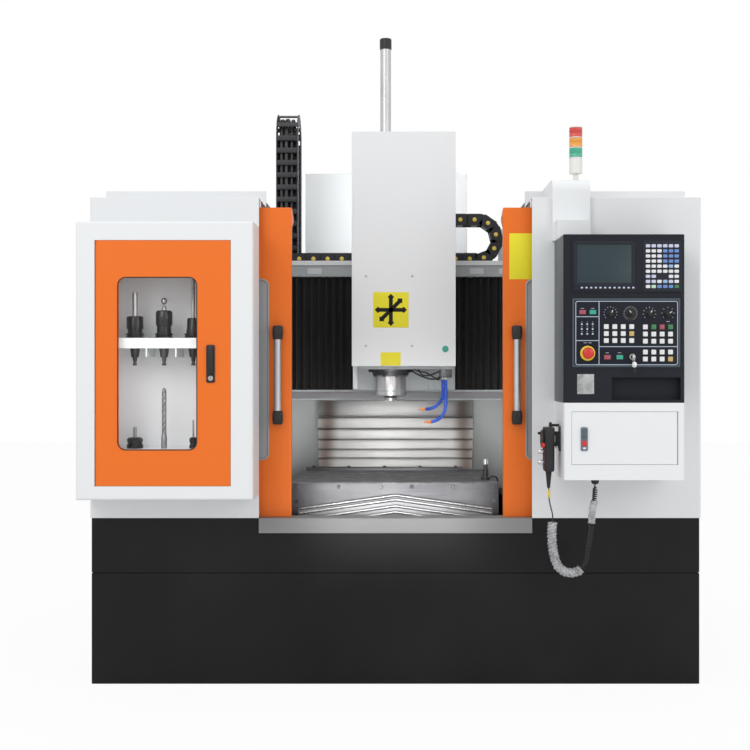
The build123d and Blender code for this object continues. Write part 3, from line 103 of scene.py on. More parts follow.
def lift(flat: np.ndarray, level: np.ndarray) -> np.ndarray:
    """Adds to flat (u, v) points, shape (..., rows, columns, 2), the height w of each row."""
    return np.concatenate([flat, np.broadcast_to(level[:, None, None], flat.shape[:-1] + (1,))], axis=-1)


def block(first_u: float, step_u: float, columns: int, first_v: float, step_v: float, rows: int) -> np.ndarray:
    """Places of a block of like parts, row by row from its upper left one, shape (rows columns, 2)."""
    row, column = np.indices((rows, columns))
    return np.stack([first_u + step_u * column, first_v - step_v * row], axis=-1).reshape(-1, 2)


def walk(line: np.ndarray) -> np.ndarray:
    """Distance walked along a line to each of its points."""
    return np.concatenate([[0.0], np.cumsum(np.linalg.norm(np.diff(line, axis=0), axis=1))])


def along(line: np.ndarray, at: np.ndarray) -> np.ndarray:
    """Points of a line at walked distances."""
    return np.stack([np.interp(at, walk(line), column) for column in line.T], axis=-1)


def square_to(path: np.ndarray, across: Triple, closed: bool = False) -> tuple[np.ndarray, np.ndarray]:
    """Unit directions square to a path: n = t x across, made unit, and b = t x n, for the tangent t.

    Args:
        path: points of shape (n, 3).
        across: a direction that the path never runs along.
        closed: the last point is followed by the first.

    Returns:
        n and b at each point.
    """
    tangent = np.roll(path, -1, axis=0) - np.roll(path, 1, axis=0) if closed else np.gradient(path, axis=0)
    tangent /= np.linalg.norm(tangent, axis=1, keepdims=True)
    normal = np.cross(tangent, np.asarray(across, float))
    normal /= np.linalg.norm(normal, axis=1, keepdims=True)
    return normal, np.cross(tangent, normal)


def smooth_path(points: Sequence[Triple], count: int = 60) -> np.ndarray:
    """Smooth curve through points: each stretch is the cubic whose end slopes are half the chords beside it.

    Args:
        points: points that it goes through.
        count: points wanted.

    Returns:
        Points of shape (count, 3).
    """
    knots = np.array(points, float)
    slope = np.gradient(knots, axis=0)
    share = np.linspace(0.0, len(knots) - 1, count)
    low = np.clip(share.astype(int), 0, len(knots) - 2)
    part = (share - low)[:, None]
    return ((2 * part**3 - 3 * part**2 + 1) * knots[low] + (part**3 - 2 * part**2 + part) * slope[low]
            + (-2 * part**3 + 3 * part**2) * knots[low + 1] + (part**3 - part**2) * slope[low + 1])


def rounded_outline(width: float, height: float, radius: float, steps: int = 5) -> np.ndarray:
    """Closed outline of a rounded rectangle.

    Four quarter circles, each about its own corner centre: centre + r (cos a, sin a) for a over its
    quarter, joined by the straight sides.

    Args:
        width: size along u.
        height: size along v.
        radius: corner radius.
        steps: arc steps at each corner.

    Returns:
        Points of shape (4 (steps + 1), 2), counter-clockwise.
    """
    radius = max(min(radius, width / 2 - 1e-4, height / 2 - 1e-4), 1e-4)
    turns = np.arange(4)[:, None] * math.pi / 2 + np.linspace(0.0, math.pi / 2, steps + 1)
    centres = np.array([(1, 1), (-1, 1), (-1, -1), (1, -1)]) * (width / 2 - radius, height / 2 - radius)
    return (centres[:, None] + radius * polar(turns)).reshape(-1, 2)


def show(name: str, data: bpy.types.ID) -> bpy.types.Object:
    """Links a new object into the scene.

    Args:
        name: the object's name.
        data: its mesh, curve, camera or light.

    Returns:
        The object.
    """
    thing = bpy.data.objects.new(name, data)
    bpy.context.scene.collection.objects.link(thing)
    return thing


def face_outward(mesh: bpy.types.Mesh, merge: bool = False) -> None:
    """Turns each closed shell's faces outward.

    Args:
        mesh: the mesh to change.
        merge: first merges its double points and joins its flat triangles into whole faces.
    """
    shape = bmesh.new()
    shape.from_mesh(mesh)
    if merge:
        bmesh.ops.remove_doubles(shape, verts=shape.verts, dist=1e-6)
        bmesh.ops.dissolve_limit(shape, angle_limit=math.radians(FLAT_ENOUGH), verts=shape.verts,
                                 edges=shape.edges, use_dissolve_boundaries=False)
    bmesh.ops.recalc_face_normals(shape, faces=shape.faces)
    shape.to_mesh(mesh)
    shape.free()


def settle(piece: bpy.types.Object, body: str, slot: str, *replaced: str) -> bpy.types.Object:
    """Puts a finished piece on its body.

    Args:
        piece: the object.
        body: the body that carries it.
        slot: the record's material slot; not used.
        replaced: solids that it stands for.

    Returns:
        The piece.
    """
    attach(piece, body)
    if replaced:
        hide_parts(*replaced)
    LOG.info("%s rides on %s", piece.name, body)
    return piece


class Facing(Enum):
    """Which way a flat piece looks; the rows are its u, v and outward w axes as (x, depth, z)."""

    FRONT = ((1, 0, 0), (0, 0, 1), (0, -1, 0))
    BACK = ((1, 0, 0), (0, 0, 1), (0, 1, 0))
    LEFT = ((0, 1, 0), (0, 0, 1), (-1, 0, 0))
    RIGHT = ((0, 1, 0), (0, 0, 1), (1, 0, 0))
    UP = ((1, 0, 0), (0, 1, 0), (0, 0, 1))
    DOWN = ((1, 0, 0), (0, 1, 0), (0, 0, -1))

    def spread(self, local: np.ndarray, origin: Triple) -> np.ndarray:
        """Places of local (u, v, w) points about an origin given as (x, depth, z)."""
        return np.asarray(origin, float) + local @ np.array(self.value, float)


FRONT, BACK, LEFT, RIGHT, UP, DOWN = Facing


class Maker:
    """Collects surfaces, each worked out as whole arrays, and makes one dressed piece of them."""

    def __init__(self, name: str, finishes: str, *dress: str) -> None:
        """Starts an empty piece.

        Args:
            name: the piece's name.
            finishes: its recipes in the order of its finish numbers, with spaces between them.
            dress: its body, its material slot and the solids that it stands for.
        """
        self.name, self.finishes, self.dress = name, finishes, dress
        self.points: list[np.ndarray] = []
        self.faces: list[tuple[np.ndarray, int]] = []
        self.count = 0

    def skin(self, grid: np.ndarray, slot: int = 0, closed: bool = False) -> None:
        """Adds quads between neighbours of a grid of points, whose last column joins the first.

        Args:
            grid: points of shape (n, m, 3), or (copies, n, m, 3).
            slot: finish number.
            closed: joins the last row to the first; otherwise a polygon closes each of them.
        """
        rows, columns = grid.shape[-3:-1]
        index = np.arange(rows * columns).reshape(rows, columns)
        quads = np.stack([index, np.roll(index, -1, axis=1), np.roll(index, (-1, -1), axis=(0, 1)),
                          np.roll(index, -1, axis=0)], axis=-1)
        blocks = [quads.reshape(-1, 4)] if closed else [quads[:-1].reshape(-1, 4), index[:1, ::-1], index[-1:]]
        points = grid.reshape(-1, 3)
        starts = np.arange(self.count, self.count + len(points), rows * columns)[:, None, None]
        self.faces.extend(((part + starts).reshape(-1, part.shape[1]), slot) for part in blocks)
        self.points.append(points)
        self.count += len(points)

    def slab(self, facing: Facing, origin: Triple, size: Pair, thickness: float, radius: float = 1.0,
             bevel: float = 0.6, slot: int = 0, at: Places = ((0, 0),), turns: np.ndarray | float = 0.0,
             steps: int = 3, soft: int = 2) -> None:
        """Adds rounded plates with softened front edges.

        Outlines of a rounded rectangle, inset by b (1 - cos a) and raised by t - b (1 - sin a) on the
        front edge's quarter circle, are stacked from the back face to the front face.

        Args:
            facing: which way the plate looks.
            origin: middle of its back face as (x, depth, z).
            size: width along u and height along v.
            thickness: how far it stands out along w.
            radius: corner radius.
            bevel: radius of the front edge.
            slot: finish number.
            at: places of the copies, as u and v from the origin.
            turns: turn of each copy in its own plane, in radians.
            steps: arc steps at each corner.
            soft: arc steps over the front edge.
        """
        bevel = min(bevel, thickness * 0.49, min(size) * 0.49)
        angles = np.linspace(0.0, math.pi / 2, soft + 1)
        inset = np.concatenate([[0.0], bevel * (1 - np.cos(angles))])
        height = np.concatenate([[0.0], thickness - bevel * (1 - np.sin(angles))])
        rings = np.stack([
            rounded_outline(size[0] - 2 * cut, size[1] - 2 * cut, radius - cut, steps) for cut in inset])
        places = np.asarray(at, float).reshape(-1, 1, 1, 2)
        turned = np.broadcast_to(np.asarray(turns, float), len(places))
        cos, sin = np.cos(turned), np.sin(turned)
        matrix = np.stack([np.stack([cos, sin], -1), np.stack([-sin, cos], -1)], axis=1)
        flat = np.einsum("nmk,ckl->cnml", rings, matrix) + places
        self.skin(facing.spread(lift(flat, height), origin), slot)

    def lathe(self, facing: Facing, origin: Triple, profile: Sequence[Pair], sides: int = 32,
              slot: int = 0, at: Places = ((0, 0),)) -> None:
        """Adds turned pieces: each profile point (r, w) goes round to (r cos a, r sin a, w).

        Args:
            facing: direction of the turning axis, along w.
            origin: place of w = 0 on the axis.
            profile: radius and height pairs from one end to the other.
            sides: facets round the axis.
            slot: finish number.
            at: places of the copies as u and v.
        """
        radius, level = np.asarray(profile, float).T
        flat = radius[:, None, None] * polar(circle(sides)) + np.asarray(at, float).reshape(-1, 1, 1, 2)
        self.skin(facing.spread(lift(flat, level), origin), slot)

    def border(self, origin: Triple, size: Pair, radius: float, width: float, height: float, slot: int = 0) -> None:
        """Adds a raised border round a rounded rectangle that looks to the front.

        The section goes from the inner edge over a half circle of the border's width to the outer
        edge, and is carried round the outline.

        Args:
            origin: middle of the outline.
            size: width and height of the inner outline.
            radius: corner radius of the inner outline.
            width: width of the border.
            height: how far it stands out.
            slot: finish number.
        """
        across = width * np.array([0.0, 0.0, 0.08, 0.3, 0.7, 0.92, 1.0, 1.0])
        level = height * np.array([-0.6, 0.3, 0.75, 1.0, 1.0, 0.75, 0.3, -0.6])
        rings = np.stack([rounded_outline(size[0] + 2 * out, size[1] + 2 * out, radius + out, 8) for out in across])
        self.skin(FRONT.spread(lift(rings, level), origin), slot, True)

    def tube(self, path: np.ndarray, radius: np.ndarray | float, sides: int = 12, slot: int = 0,
             across: Triple = (0, 1, 0), closed: bool = False) -> None:
        """Adds a tube: at each path point p, p + r (cos a n + sin a b), with n and b square to the path.

        Args:
            path: points of shape (n, 3).
            radius: one radius, or one for each point.
            sides: facets round the path.
            slot: finish number.
            across: a direction that the path never runs along.
            closed: the path ends where it starts.
        """
        normal, binormal = square_to(path, across, closed)
        around = circle(sides)[:, None]
        ring = np.cos(around) * normal[:, None] + np.sin(around) * binormal[:, None]
        self.skin(path[:, None] + np.broadcast_to(radius, len(path))[:, None, None] * ring, slot, closed)

    def make(self, sharp: float = SHARP_EDGE) -> bpy.types.Object:
        """Makes the object, with outward faces and smooth shading between sharp edges.

        Args:
            sharp: angle in degrees past which an edge stays sharp.

        Returns:
            The object, at the origin, with its place in its mesh.
        """
        mesh = bpy.data.meshes.new(self.name)
        polygons = [face for faces, _ in self.faces for face in faces.tolist()]
        mesh.from_pydata(to_row(np.concatenate(self.points)).tolist(), [], polygons)
        for key in self.finishes.split():
            mesh.materials.append(finish(key))
        slots = np.concatenate([np.full(len(faces), slot, np.int32) for faces, slot in self.faces])
        mesh.polygons.foreach_set("material_index", slots)
        face_outward(mesh)
        mesh.shade_smooth()
        mesh.set_sharp_from_angle(angle=math.radians(sharp))
        return show(self.name, mesh)

    def build(self, sharp: float = SHARP_EDGE) -> None:
        """Makes the object and puts it on its body."""
        settle(self.make(sharp), *self.dress)


# Finishes


def feed(target: Node, inputs: dict[str | int, object]) -> None:
    """Sets a node's inputs.

    Args:
        target: the node.
        inputs: by name or number, the value of an input or the socket that feeds it.
    """
    for name, value in inputs.items():
        if isinstance(value, Socket):
            target.id_data.links.new(value, target.inputs[name])
        else:
            target.inputs[name].default_value = value


def node(tree: Tree, kind: str, inputs: Optional[dict[str | int, object]] = None, **options: object) -> Node:
    """Adds a shader node.

    Args:
        tree: where it goes.
        kind: its type, without the word ShaderNode.
        inputs: what its inputs hold or are fed by.
        options: its own settings.

    Returns:
        The node.
    """
    made = tree.nodes.new(f"ShaderNode{kind}")
    for name, value in options.items():
        setattr(made, name, value)
    feed(made, inputs or {})
    return made


def calc(tree: Tree, operation: str, *values: Socket | float) -> Socket:
    """Result of a Math node."""
    return node(tree, "Math", dict(enumerate(values)), operation=operation).outputs[0]


def mix_colours(tree: Tree, share: Socket, first: object, second: object) -> Socket:
    """Colour between two, each a socket or four numbers."""
    return node(tree, "Mix", {0: share, 6: first, 7: second}, data_type="RGBA").outputs[2]


def map_range(tree: Tree, value: Socket, ends: Pair, results: Pair = (0, 1), **options: object) -> Socket:
    """Maps a value from between two ends to between two results."""
    names = ("From Min", "From Max", "To Min", "To Max")
    return node(tree, "MapRange", {"Value": value, **dict(zip(names, (*ends, *results)))}, **options).outputs[0]


def bump_of(tree: Tree, height: Socket, strength: float, distance: float) -> Socket:
    """Normal that a height gives."""
    return node(tree, "Bump", {"Height": height, "Strength": strength, "Distance": distance}).outputs["Normal"]


def end_in_mix(output: Node, share: Socket, first: Node, second: Node) -> None:
    """Ends a node tree in a mix of two shaders.

    Args:
        output: the tree's output node.
        share: how much of the second shader shows.
        first: the first shader.
        second: the second shader.
    """
    mix = node(output.id_data, "MixShader", {0: share, 1: first.outputs[0], 2: second.outputs[0]})
    feed(output, {"Surface": mix.outputs[0]})


def new_group(name: str, inputs: dict[str, object]) -> tuple[Tree, bpy.types.NodeOutputs]:
    """Starts a node group whose outputs are a colour, a roughness and a bump height.

    Args:
        name: the group's name.
        inputs: its inputs' names and first values: a number, a vector or a colour.

    Returns:
        The group and the sockets of its inputs.
    """
    group = bpy.data.node_groups.new(name, "ShaderNodeTree")
    for label, value in inputs.items():
        kind = "Float" if isinstance(value, float) else {3: "Vector", 4: "Color"}[len(value)]
        made = group.interface.new_socket(name=label, in_out="INPUT", socket_type=f"NodeSocket{kind}")
        made.default_value = value
    for label, kind in (("Colour", "Color"), ("Roughness", "Float"), ("Height", "Float")):
        group.interface.new_socket(name=label, in_out="OUTPUT", socket_type=f"NodeSocket{kind}")
    return group, group.nodes.new("NodeGroupInput").outputs


def paint_grain_group() -> Tree:
    """Powder coat: fine orange peel, slow cloudiness and smears that change the gloss.

    Returns:
        The group.
    """
    group, given = new_group("paint_grain", {
        "Colour": (0.8, 0.8, 0.8, 1.0), "Shade": 0.06, "Roughness": 0.4, "Peel Scale": 420.0, "Smears": 0.08})
    place = node(group, "TexCoord").outputs["Object"]
    peel, clouds, smears = (node(group, "TexNoise", {"Vector": place, **more}).outputs["Fac"] for more in (
        {"Scale": given["Peel Scale"], "Detail": 2.0},
        {"Scale": 2.3, "Detail": 5.0},
        {"Scale": 9.0, "Detail": 8.0, "Distortion": 1.2}))
    shade = calc(group, "MULTIPLY", clouds, given["Shade"])
    feed(group.nodes.new("NodeGroupOutput"), {
        "Colour": mix_colours(group, shade, given["Colour"], (0.16, 0.15, 0.14, 1.0)),
        "Roughness": calc(group, "MULTIPLY_ADD", smears, given["Smears"], given["Roughness"]),
        "Height": peel})
    return group


def brushed_group() -> Tree:
    """Worked metal: long fine lines and slow stains.

    The lines are noise squeezed across the grain by the Stretch input, so they run along the
    direction whose factor is small.

    Returns:
        The group.
    """
    group, given = new_group("brushed_lines", {
        "Light": (0.7, 0.7, 0.7, 1.0), "Dark": (0.4, 0.4, 0.4, 1.0), "Stretch": (4.0, 400.0, 400.0),
        "Roughness": 0.3, "Line Depth": 0.25, "Stain Scale": 5.0})
    place = node(group, "TexCoord").outputs["Object"]
    squeeze = node(group, "VectorMath", {0: place, 1: given["Stretch"]}, operation="MULTIPLY")
    lines = node(group, "TexNoise", {"Vector": squeeze.outputs[0], "Scale": 1.0, "Detail": 4.0}).outputs["Fac"]
    stains = node(group, "TexNoise", {
        "Vector": place, "Scale": given["Stain Scale"], "Detail": 6.0, "Distortion": 0.8}).outputs["Fac"]
    dark = calc(group, "MULTIPLY_ADD", lines, given["Line Depth"], map_range(group, stains, (0.34, 0.68)))
    share = node(group, "Clamp", {"Value": dark}).outputs[0]
    feed(group.nodes.new("NodeGroupOutput"), {
        "Colour": mix_colours(group, share, given["Light"], given["Dark"]),
        "Roughness": calc(group, "MULTIPLY_ADD", lines, 0.22, given["Roughness"]),
        "Height": lines})
    return group


PAINT_GRAIN = paint_grain_group()
BRUSHED = brushed_group()


def new_material(name: str) -> tuple[bpy.types.Material, Tree, Node]:
    """Starts a material.

    Args:
        name: the material's name.

    Returns:
        The material, its node tree and its Principled shader.
    """
    material = bpy.data.materials.new(name)
    material.use_nodes = True
    return material, material.node_tree, material.node_tree.nodes["Principled BSDF"]


@dataclass(frozen=True)
class Paint:
    """Painted, moulded or rubber finish with a fine grain."""

    name: str
    colour: Triple
    roughness: float = 0.4
    shade: float = 0.05
    smears: float = 0.07
    peel: float = 420.0
    bump: float = 0.05
    coat: float = 0.0
    specular: float = 0.5

    def make(self) -> bpy.types.Material:
        """Builds the material.

        Returns:
            The material.
        """
        material, tree, shader = new_material(self.name)
        grain = node(tree, "Group", {
            "Colour": (*self.colour, 1.0), "Shade": self.shade, "Roughness": self.roughness,
            "Peel Scale": self.peel, "Smears": self.smears}, node_tree=PAINT_GRAIN).outputs
        feed(shader, {
            "Base Color": grain["Colour"], "Roughness": grain["Roughness"],
            "Normal": bump_of(tree, grain["Height"], self.bump, 0.0006),
            "Coat Weight": self.coat, "Coat Roughness": 0.12, "Specular IOR Level": self.specular})
        return material


@dataclass(frozen=True)
class Metal:
    """Bare worked metal with lines that run along one axis.

    A painted reflection is a second, brownish colour about 290 mm either side of the middle, softly out to 58 mm from
    there, that stands in for what the steel mirrors.
    """

    name: str
    light: Triple
    dark: Triple
    stretch: Triple
    roughness: float = 0.24
    stains: float = 5.0
    lines: float = 0.3
    bump: float = 0.12
    metallic: float = 1.0
    painted_reflection: Optional[Triple] = None
    painted_reflection_place: Pair = (0.29, 0.058)
    painted_reflection_share: float = 0.85

    def make(self) -> bpy.types.Material:
        """Builds the material.

        Returns:
            The material.
        """
        material, tree, shader = new_material(self.name)
        brushed = node(tree, "Group", {
            "Light": (*self.light, 1.0), "Dark": (*self.dark, 1.0), "Stretch": self.stretch,
            "Roughness": self.roughness, "Line Depth": self.lines, "Stain Scale": self.stains,
        }, node_tree=BRUSHED).outputs
        colour = brushed["Colour"]
        # painted reflection: a brownish band mixed into the colour either side of the middle
        if self.painted_reflection:
            split = node(tree, "SeparateXYZ", {0: node(tree, "TexCoord").outputs["Object"]})
            away = calc(tree, "SUBTRACT", calc(tree, "ABSOLUTE", split.outputs[0]), self.painted_reflection_place[0])
            share = map_range(tree, calc(tree, "ABSOLUTE", away), (0.0, self.painted_reflection_place[1]),
                              (self.painted_reflection_share, 0.0), interpolation_type="SMOOTHSTEP")
            colour = mix_colours(tree, share, colour, (*self.painted_reflection, 1.0))
        feed(shader, {
            "Base Color": colour, "Roughness": brushed["Roughness"], "Metallic": self.metallic,
            "Normal": bump_of(tree, brushed["Height"], self.bump, 0.0004)})
        return material


@dataclass(frozen=True)
class Pane:
    """Clear or tinted sheet that lets light through to what is behind it."""

    name: str
    colour: Triple
    roughness: float = 0.03
    ior: float = 1.46
    clear: float = 1.0

    def make(self) -> bpy.types.Material:
        """Builds the material.

        Returns:
            The material.
        """
        material, tree, shader = new_material(self.name)
        grain = node(tree, "Group", {
            "Colour": (*self.colour, 1.0), "Shade": 0.0, "Roughness": self.roughness,
            "Peel Scale": 60.0, "Smears": 0.02}, node_tree=PAINT_GRAIN).outputs
        feed(shader, {"Base Color": grain["Colour"], "Roughness": grain["Roughness"],
                      "Transmission Weight": self.clear, "IOR": self.ior})
        gap = node(tree, "BsdfTransparent", {"Color": (*self.colour, 1.0)})
        shadow = node(tree, "LightPath").outputs["Is Shadow Ray"]
        end_in_mix(tree.nodes["Material Output"], shadow, shader, gap)
        return material


@dataclass(frozen=True)
class Film:
    """Crumpled clear film: pale glossy grey patches over see-through parts, told apart by a noise; the patches stand in
    for the film's clouded folds and are painted highlights on its creases.
    """

    name: str
    colour: Triple

    def make(self) -> bpy.types.Material:
        """Builds the material.

        Returns:
            The material.
        """
        material, tree, shader = new_material(self.name)
        height = node(tree, "Group", {"Peel Scale": 48.0}, node_tree=PAINT_GRAIN).outputs["Height"]
        feed(shader, {"Base Color": (*self.colour, 1.0), "Roughness": 0.16,
                      "Normal": bump_of(tree, height, 0.8, 0.004)})
        # pale patches: the film's clouded folds and painted highlights on its creases
        painted_crease_highlight = map_range(tree, height, (0.32, 0.74), (0.34, 0.92))
        end_in_mix(tree.nodes["Material Output"], painted_crease_highlight, node(tree, "BsdfTransparent"), shader)
        return material


RECIPES = {recipe.name: recipe for recipe in (
    Paint("black_paint", (0.0062, 0.0062, 0.0072), 0.4, 0.1, 0.12, bump=0.04, specular=0.13),
    Paint("white_paint", (0.795, 0.815, 0.828), 0.4, 0.03, specular=0.3),
    Paint("housing_white", (0.765, 0.78, 0.795), 0.4, 0.04, specular=0.3),
    Paint("pale_paint", (0.62, 0.66, 0.675), 0.4, 0.07, 0.1),
    Paint("splash_paint", (0.78, 0.8, 0.8), 0.36, 0.08, 0.16),
    Paint("grey_paint", (0.235, 0.24, 0.24), 0.42, 0.35, 0.14),
    # dark grey painted as the shade along the beam's foot
    Paint("beam_grey", (0.17, 0.17, 0.18), 0.42, 0.1),
    Paint("orange_paint", (0.84, 0.165, 0.012), 0.36, 0.04, specular=0.3),
    Paint("console_blue", (0.095, 0.12, 0.135), 0.42, 0.08, specular=0.25),
    Paint("console_dark", (0.0095, 0.0115, 0.0185), 0.48, 0.1, peel=900.0, bump=0.09, specular=0.13),
    Paint("cast_paint", (0.42, 0.45, 0.46), 0.42, 0.12),
    Paint("bellows_cloth", (0.013, 0.013, 0.014), 0.62, 0.1, peel=1500.0, bump=0.25, specular=0.3),
    Paint("chain_plastic", (0.027, 0.029, 0.035), 0.4, 0.1, specular=0.3),
    Paint("chain_yellow", (0.88, 0.66, 0.1), 0.35),
    Paint("black_plastic", (0.011, 0.011, 0.013), 0.38, 0.1, peel=1100.0, bump=0.08, specular=0.35),
    Paint("cord_rubber", (0.012, 0.012, 0.013), 0.34, 0.1, peel=1400.0, specular=0.6),
    Paint("bolt_black", (0.016, 0.016, 0.017), 0.32),
    Paint("seal_grey", (0.34, 0.35, 0.36), 0.5, 0.1),
    Paint("latch_blue", (0.12, 0.17, 0.23)),
    Paint("white_plastic", (0.78, 0.77, 0.74), 0.32),
    Paint("red_plastic", (0.62, 0.012, 0.01), 0.25, coat=0.3),
    Paint("green_plastic", (0.035, 0.2, 0.075), 0.35),
    Paint("yellow_plastic", (0.8, 0.56, 0.03), 0.32),
    Paint("blue_key", (0.13, 0.25, 0.56), 0.45),
    Paint("light_blue_key", (0.28, 0.45, 0.7), 0.45),
    Paint("lavender_key", (0.55, 0.58, 0.74)),
    Paint("pale_green_key", (0.48, 0.7, 0.5)),
    Paint("key_white", (0.74, 0.75, 0.76)),
    Paint("hose_blue", (0.018, 0.085, 0.52), 0.36),
    Paint("nozzle_orange", (0.85, 0.25, 0.03)),
    Paint("plate_yellow", (0.82, 0.73, 0.024), 0.36, specular=0.3),
    Paint("screen", (0.017, 0.038, 0.048), 0.25, 0.2, bump=0.0, specular=0.22),
    Paint("unit_face", (0.0165, 0.0195, 0.03), 0.45, 0.1, peel=900.0, bump=0.08, specular=0.13),
    Paint("panel_grey", (0.065, 0.083, 0.104), 0.45, 0.1, specular=0.15),
    Paint("panel_navy", (0.0075, 0.0095, 0.0185), 0.45, 0.1, specular=0.13),
    Paint("panel_rule", (0.42, 0.5, 0.6), 0.45),
    Paint("panel_mark", (0.5, 0.54, 0.6), 0.45),
    Paint("teal_plastic", (0.03, 0.36, 0.25), 0.35),
    Paint("pink_plastic", (0.36, 0.07, 0.105), 0.35),
    Paint("amber_key", (0.55, 0.4, 0.13)),
    Paint("lens_red", (0.66, 0.045, 0.03), 0.2, coat=0.6),
    Paint("lens_amber", (0.85, 0.34, 0.03), 0.2, coat=0.6),
    Paint("lens_green", (0.04, 0.42, 0.26), 0.2, coat=0.6),
    Paint("holder_black", (0.008, 0.008, 0.009), 0.2, specular=0.45),
    # sheet_steel carries a painted reflection: dark brownish bands either side of each cover's middle
    Metal("sheet_steel", (0.4, 0.397, 0.393), (0.31, 0.305, 0.3), (5, 380, 380), 0.36, 2.2,
          metallic=0.75, painted_reflection=(0.1, 0.068, 0.052)),
    # a darker copy of the cover steel, painted darker as shade on the front covers' sloped roofs
    Metal("shaded_roof_steel", (0.3, 0.3, 0.305), (0.2, 0.2, 0.205), (7, 300, 300), 0.3, 2.4, 0.4),
    # sleeve_steel: the strong vertical light and dark streaks up the sleeve are painted highlight bands
    Metal("sleeve_steel", (0.92, 0.92, 0.92), (0.3, 0.3, 0.305), (36, 36, 0.6), 0.2, 1.0, 1.0, metallic=0.72),
    Metal("apron_steel", (0.145, 0.145, 0.15), (0.08, 0.08, 0.085), (6, 300, 300), 0.32, 3.0),
    Metal("plate_zinc", (0.52, 0.53, 0.53), (0.3, 0.31, 0.31), (60, 60, 60), 0.38, 28.0),
    Metal("table_steel", (0.35, 0.35, 0.36), (0.18, 0.18, 0.187), (160, 160, 160), 0.42, 17.0, 0.8),
    Metal("bright_steel", (0.8, 0.8, 0.8), (0.5, 0.5, 0.51), (300, 300, 12), 0.16, 3.0, 0.15),
    Metal("dark_steel", (0.16, 0.16, 0.17), (0.05, 0.05, 0.055), (260, 260, 14), 0.26),
    Metal("tool_steel", (0.6, 0.6, 0.61), (0.3, 0.3, 0.31), (260, 260, 14)),
    Metal("aluminium", (0.66, 0.66, 0.665), (0.46, 0.46, 0.47), (300, 300, 8), 0.3, 3.0, 0.2, 0.06),
    Metal("zinc", (0.6, 0.6, 0.59), (0.38, 0.38, 0.37), (120, 120, 120), 0.3),
    Pane("clear_glass", (0.985, 0.99, 0.99), ior=1.18),
    Pane("grey_glass", (0.5, 0.52, 0.54), 0.1, clear=0.35),
    Film("film", (0.6, 0.61, 0.63)),
)}


@cache
def finish(key: str) -> bpy.types.Material:
    """Material of a recipe by its name, made when first asked for."""
    return RECIPES[key].make()


BODY_OF = {part: body for body, parts in frame["record"]["behaviour"]["bodies"].items() for part in parts}
SLOT_OF = {part["node"]: part["material_slot"] for part in frame["record"]["subparts"]}


def coat(solid: str, key: str, edge: float) -> None:
    """Gives a solid its finish as it stands, or stands a copy with rounded edges in for it.

    The copy's points are merged, its flat triangles are joined into whole faces, and a bevel rounds
    each edge that turns more than BEVEL_EDGE degrees.

    Args:
        solid: the solid's node.
        key: the name of its recipe.
        edge: rounding in millimetres, or 0 to leave the solid itself.
    """
    mesh = frame["nodes"][solid].data.copy() if edge else frame["nodes"][solid].data
    if edge:
        mesh.name = f"{solid}_skin"
        face_outward(mesh, merge=True)
    mesh.materials.clear()
    mesh.materials.append(finish(key))
    if not edge:
        return
    mesh.shade_smooth()
    piece = show(f"{solid}_skin", mesh)
    bevel = piece.modifiers.new("edges", "BEVEL")
    bevel.width = edge * MM
    bevel.segments = 2
    bevel.limit_method = "ANGLE"
    bevel.angle_limit = math.radians(BEVEL_EDGE)
    piece.modifiers.new("shading", "WEIGHTED_NORMAL").keep_sharp = True
    settle(piece, BODY_OF[solid], SLOT_OF[solid], solid)


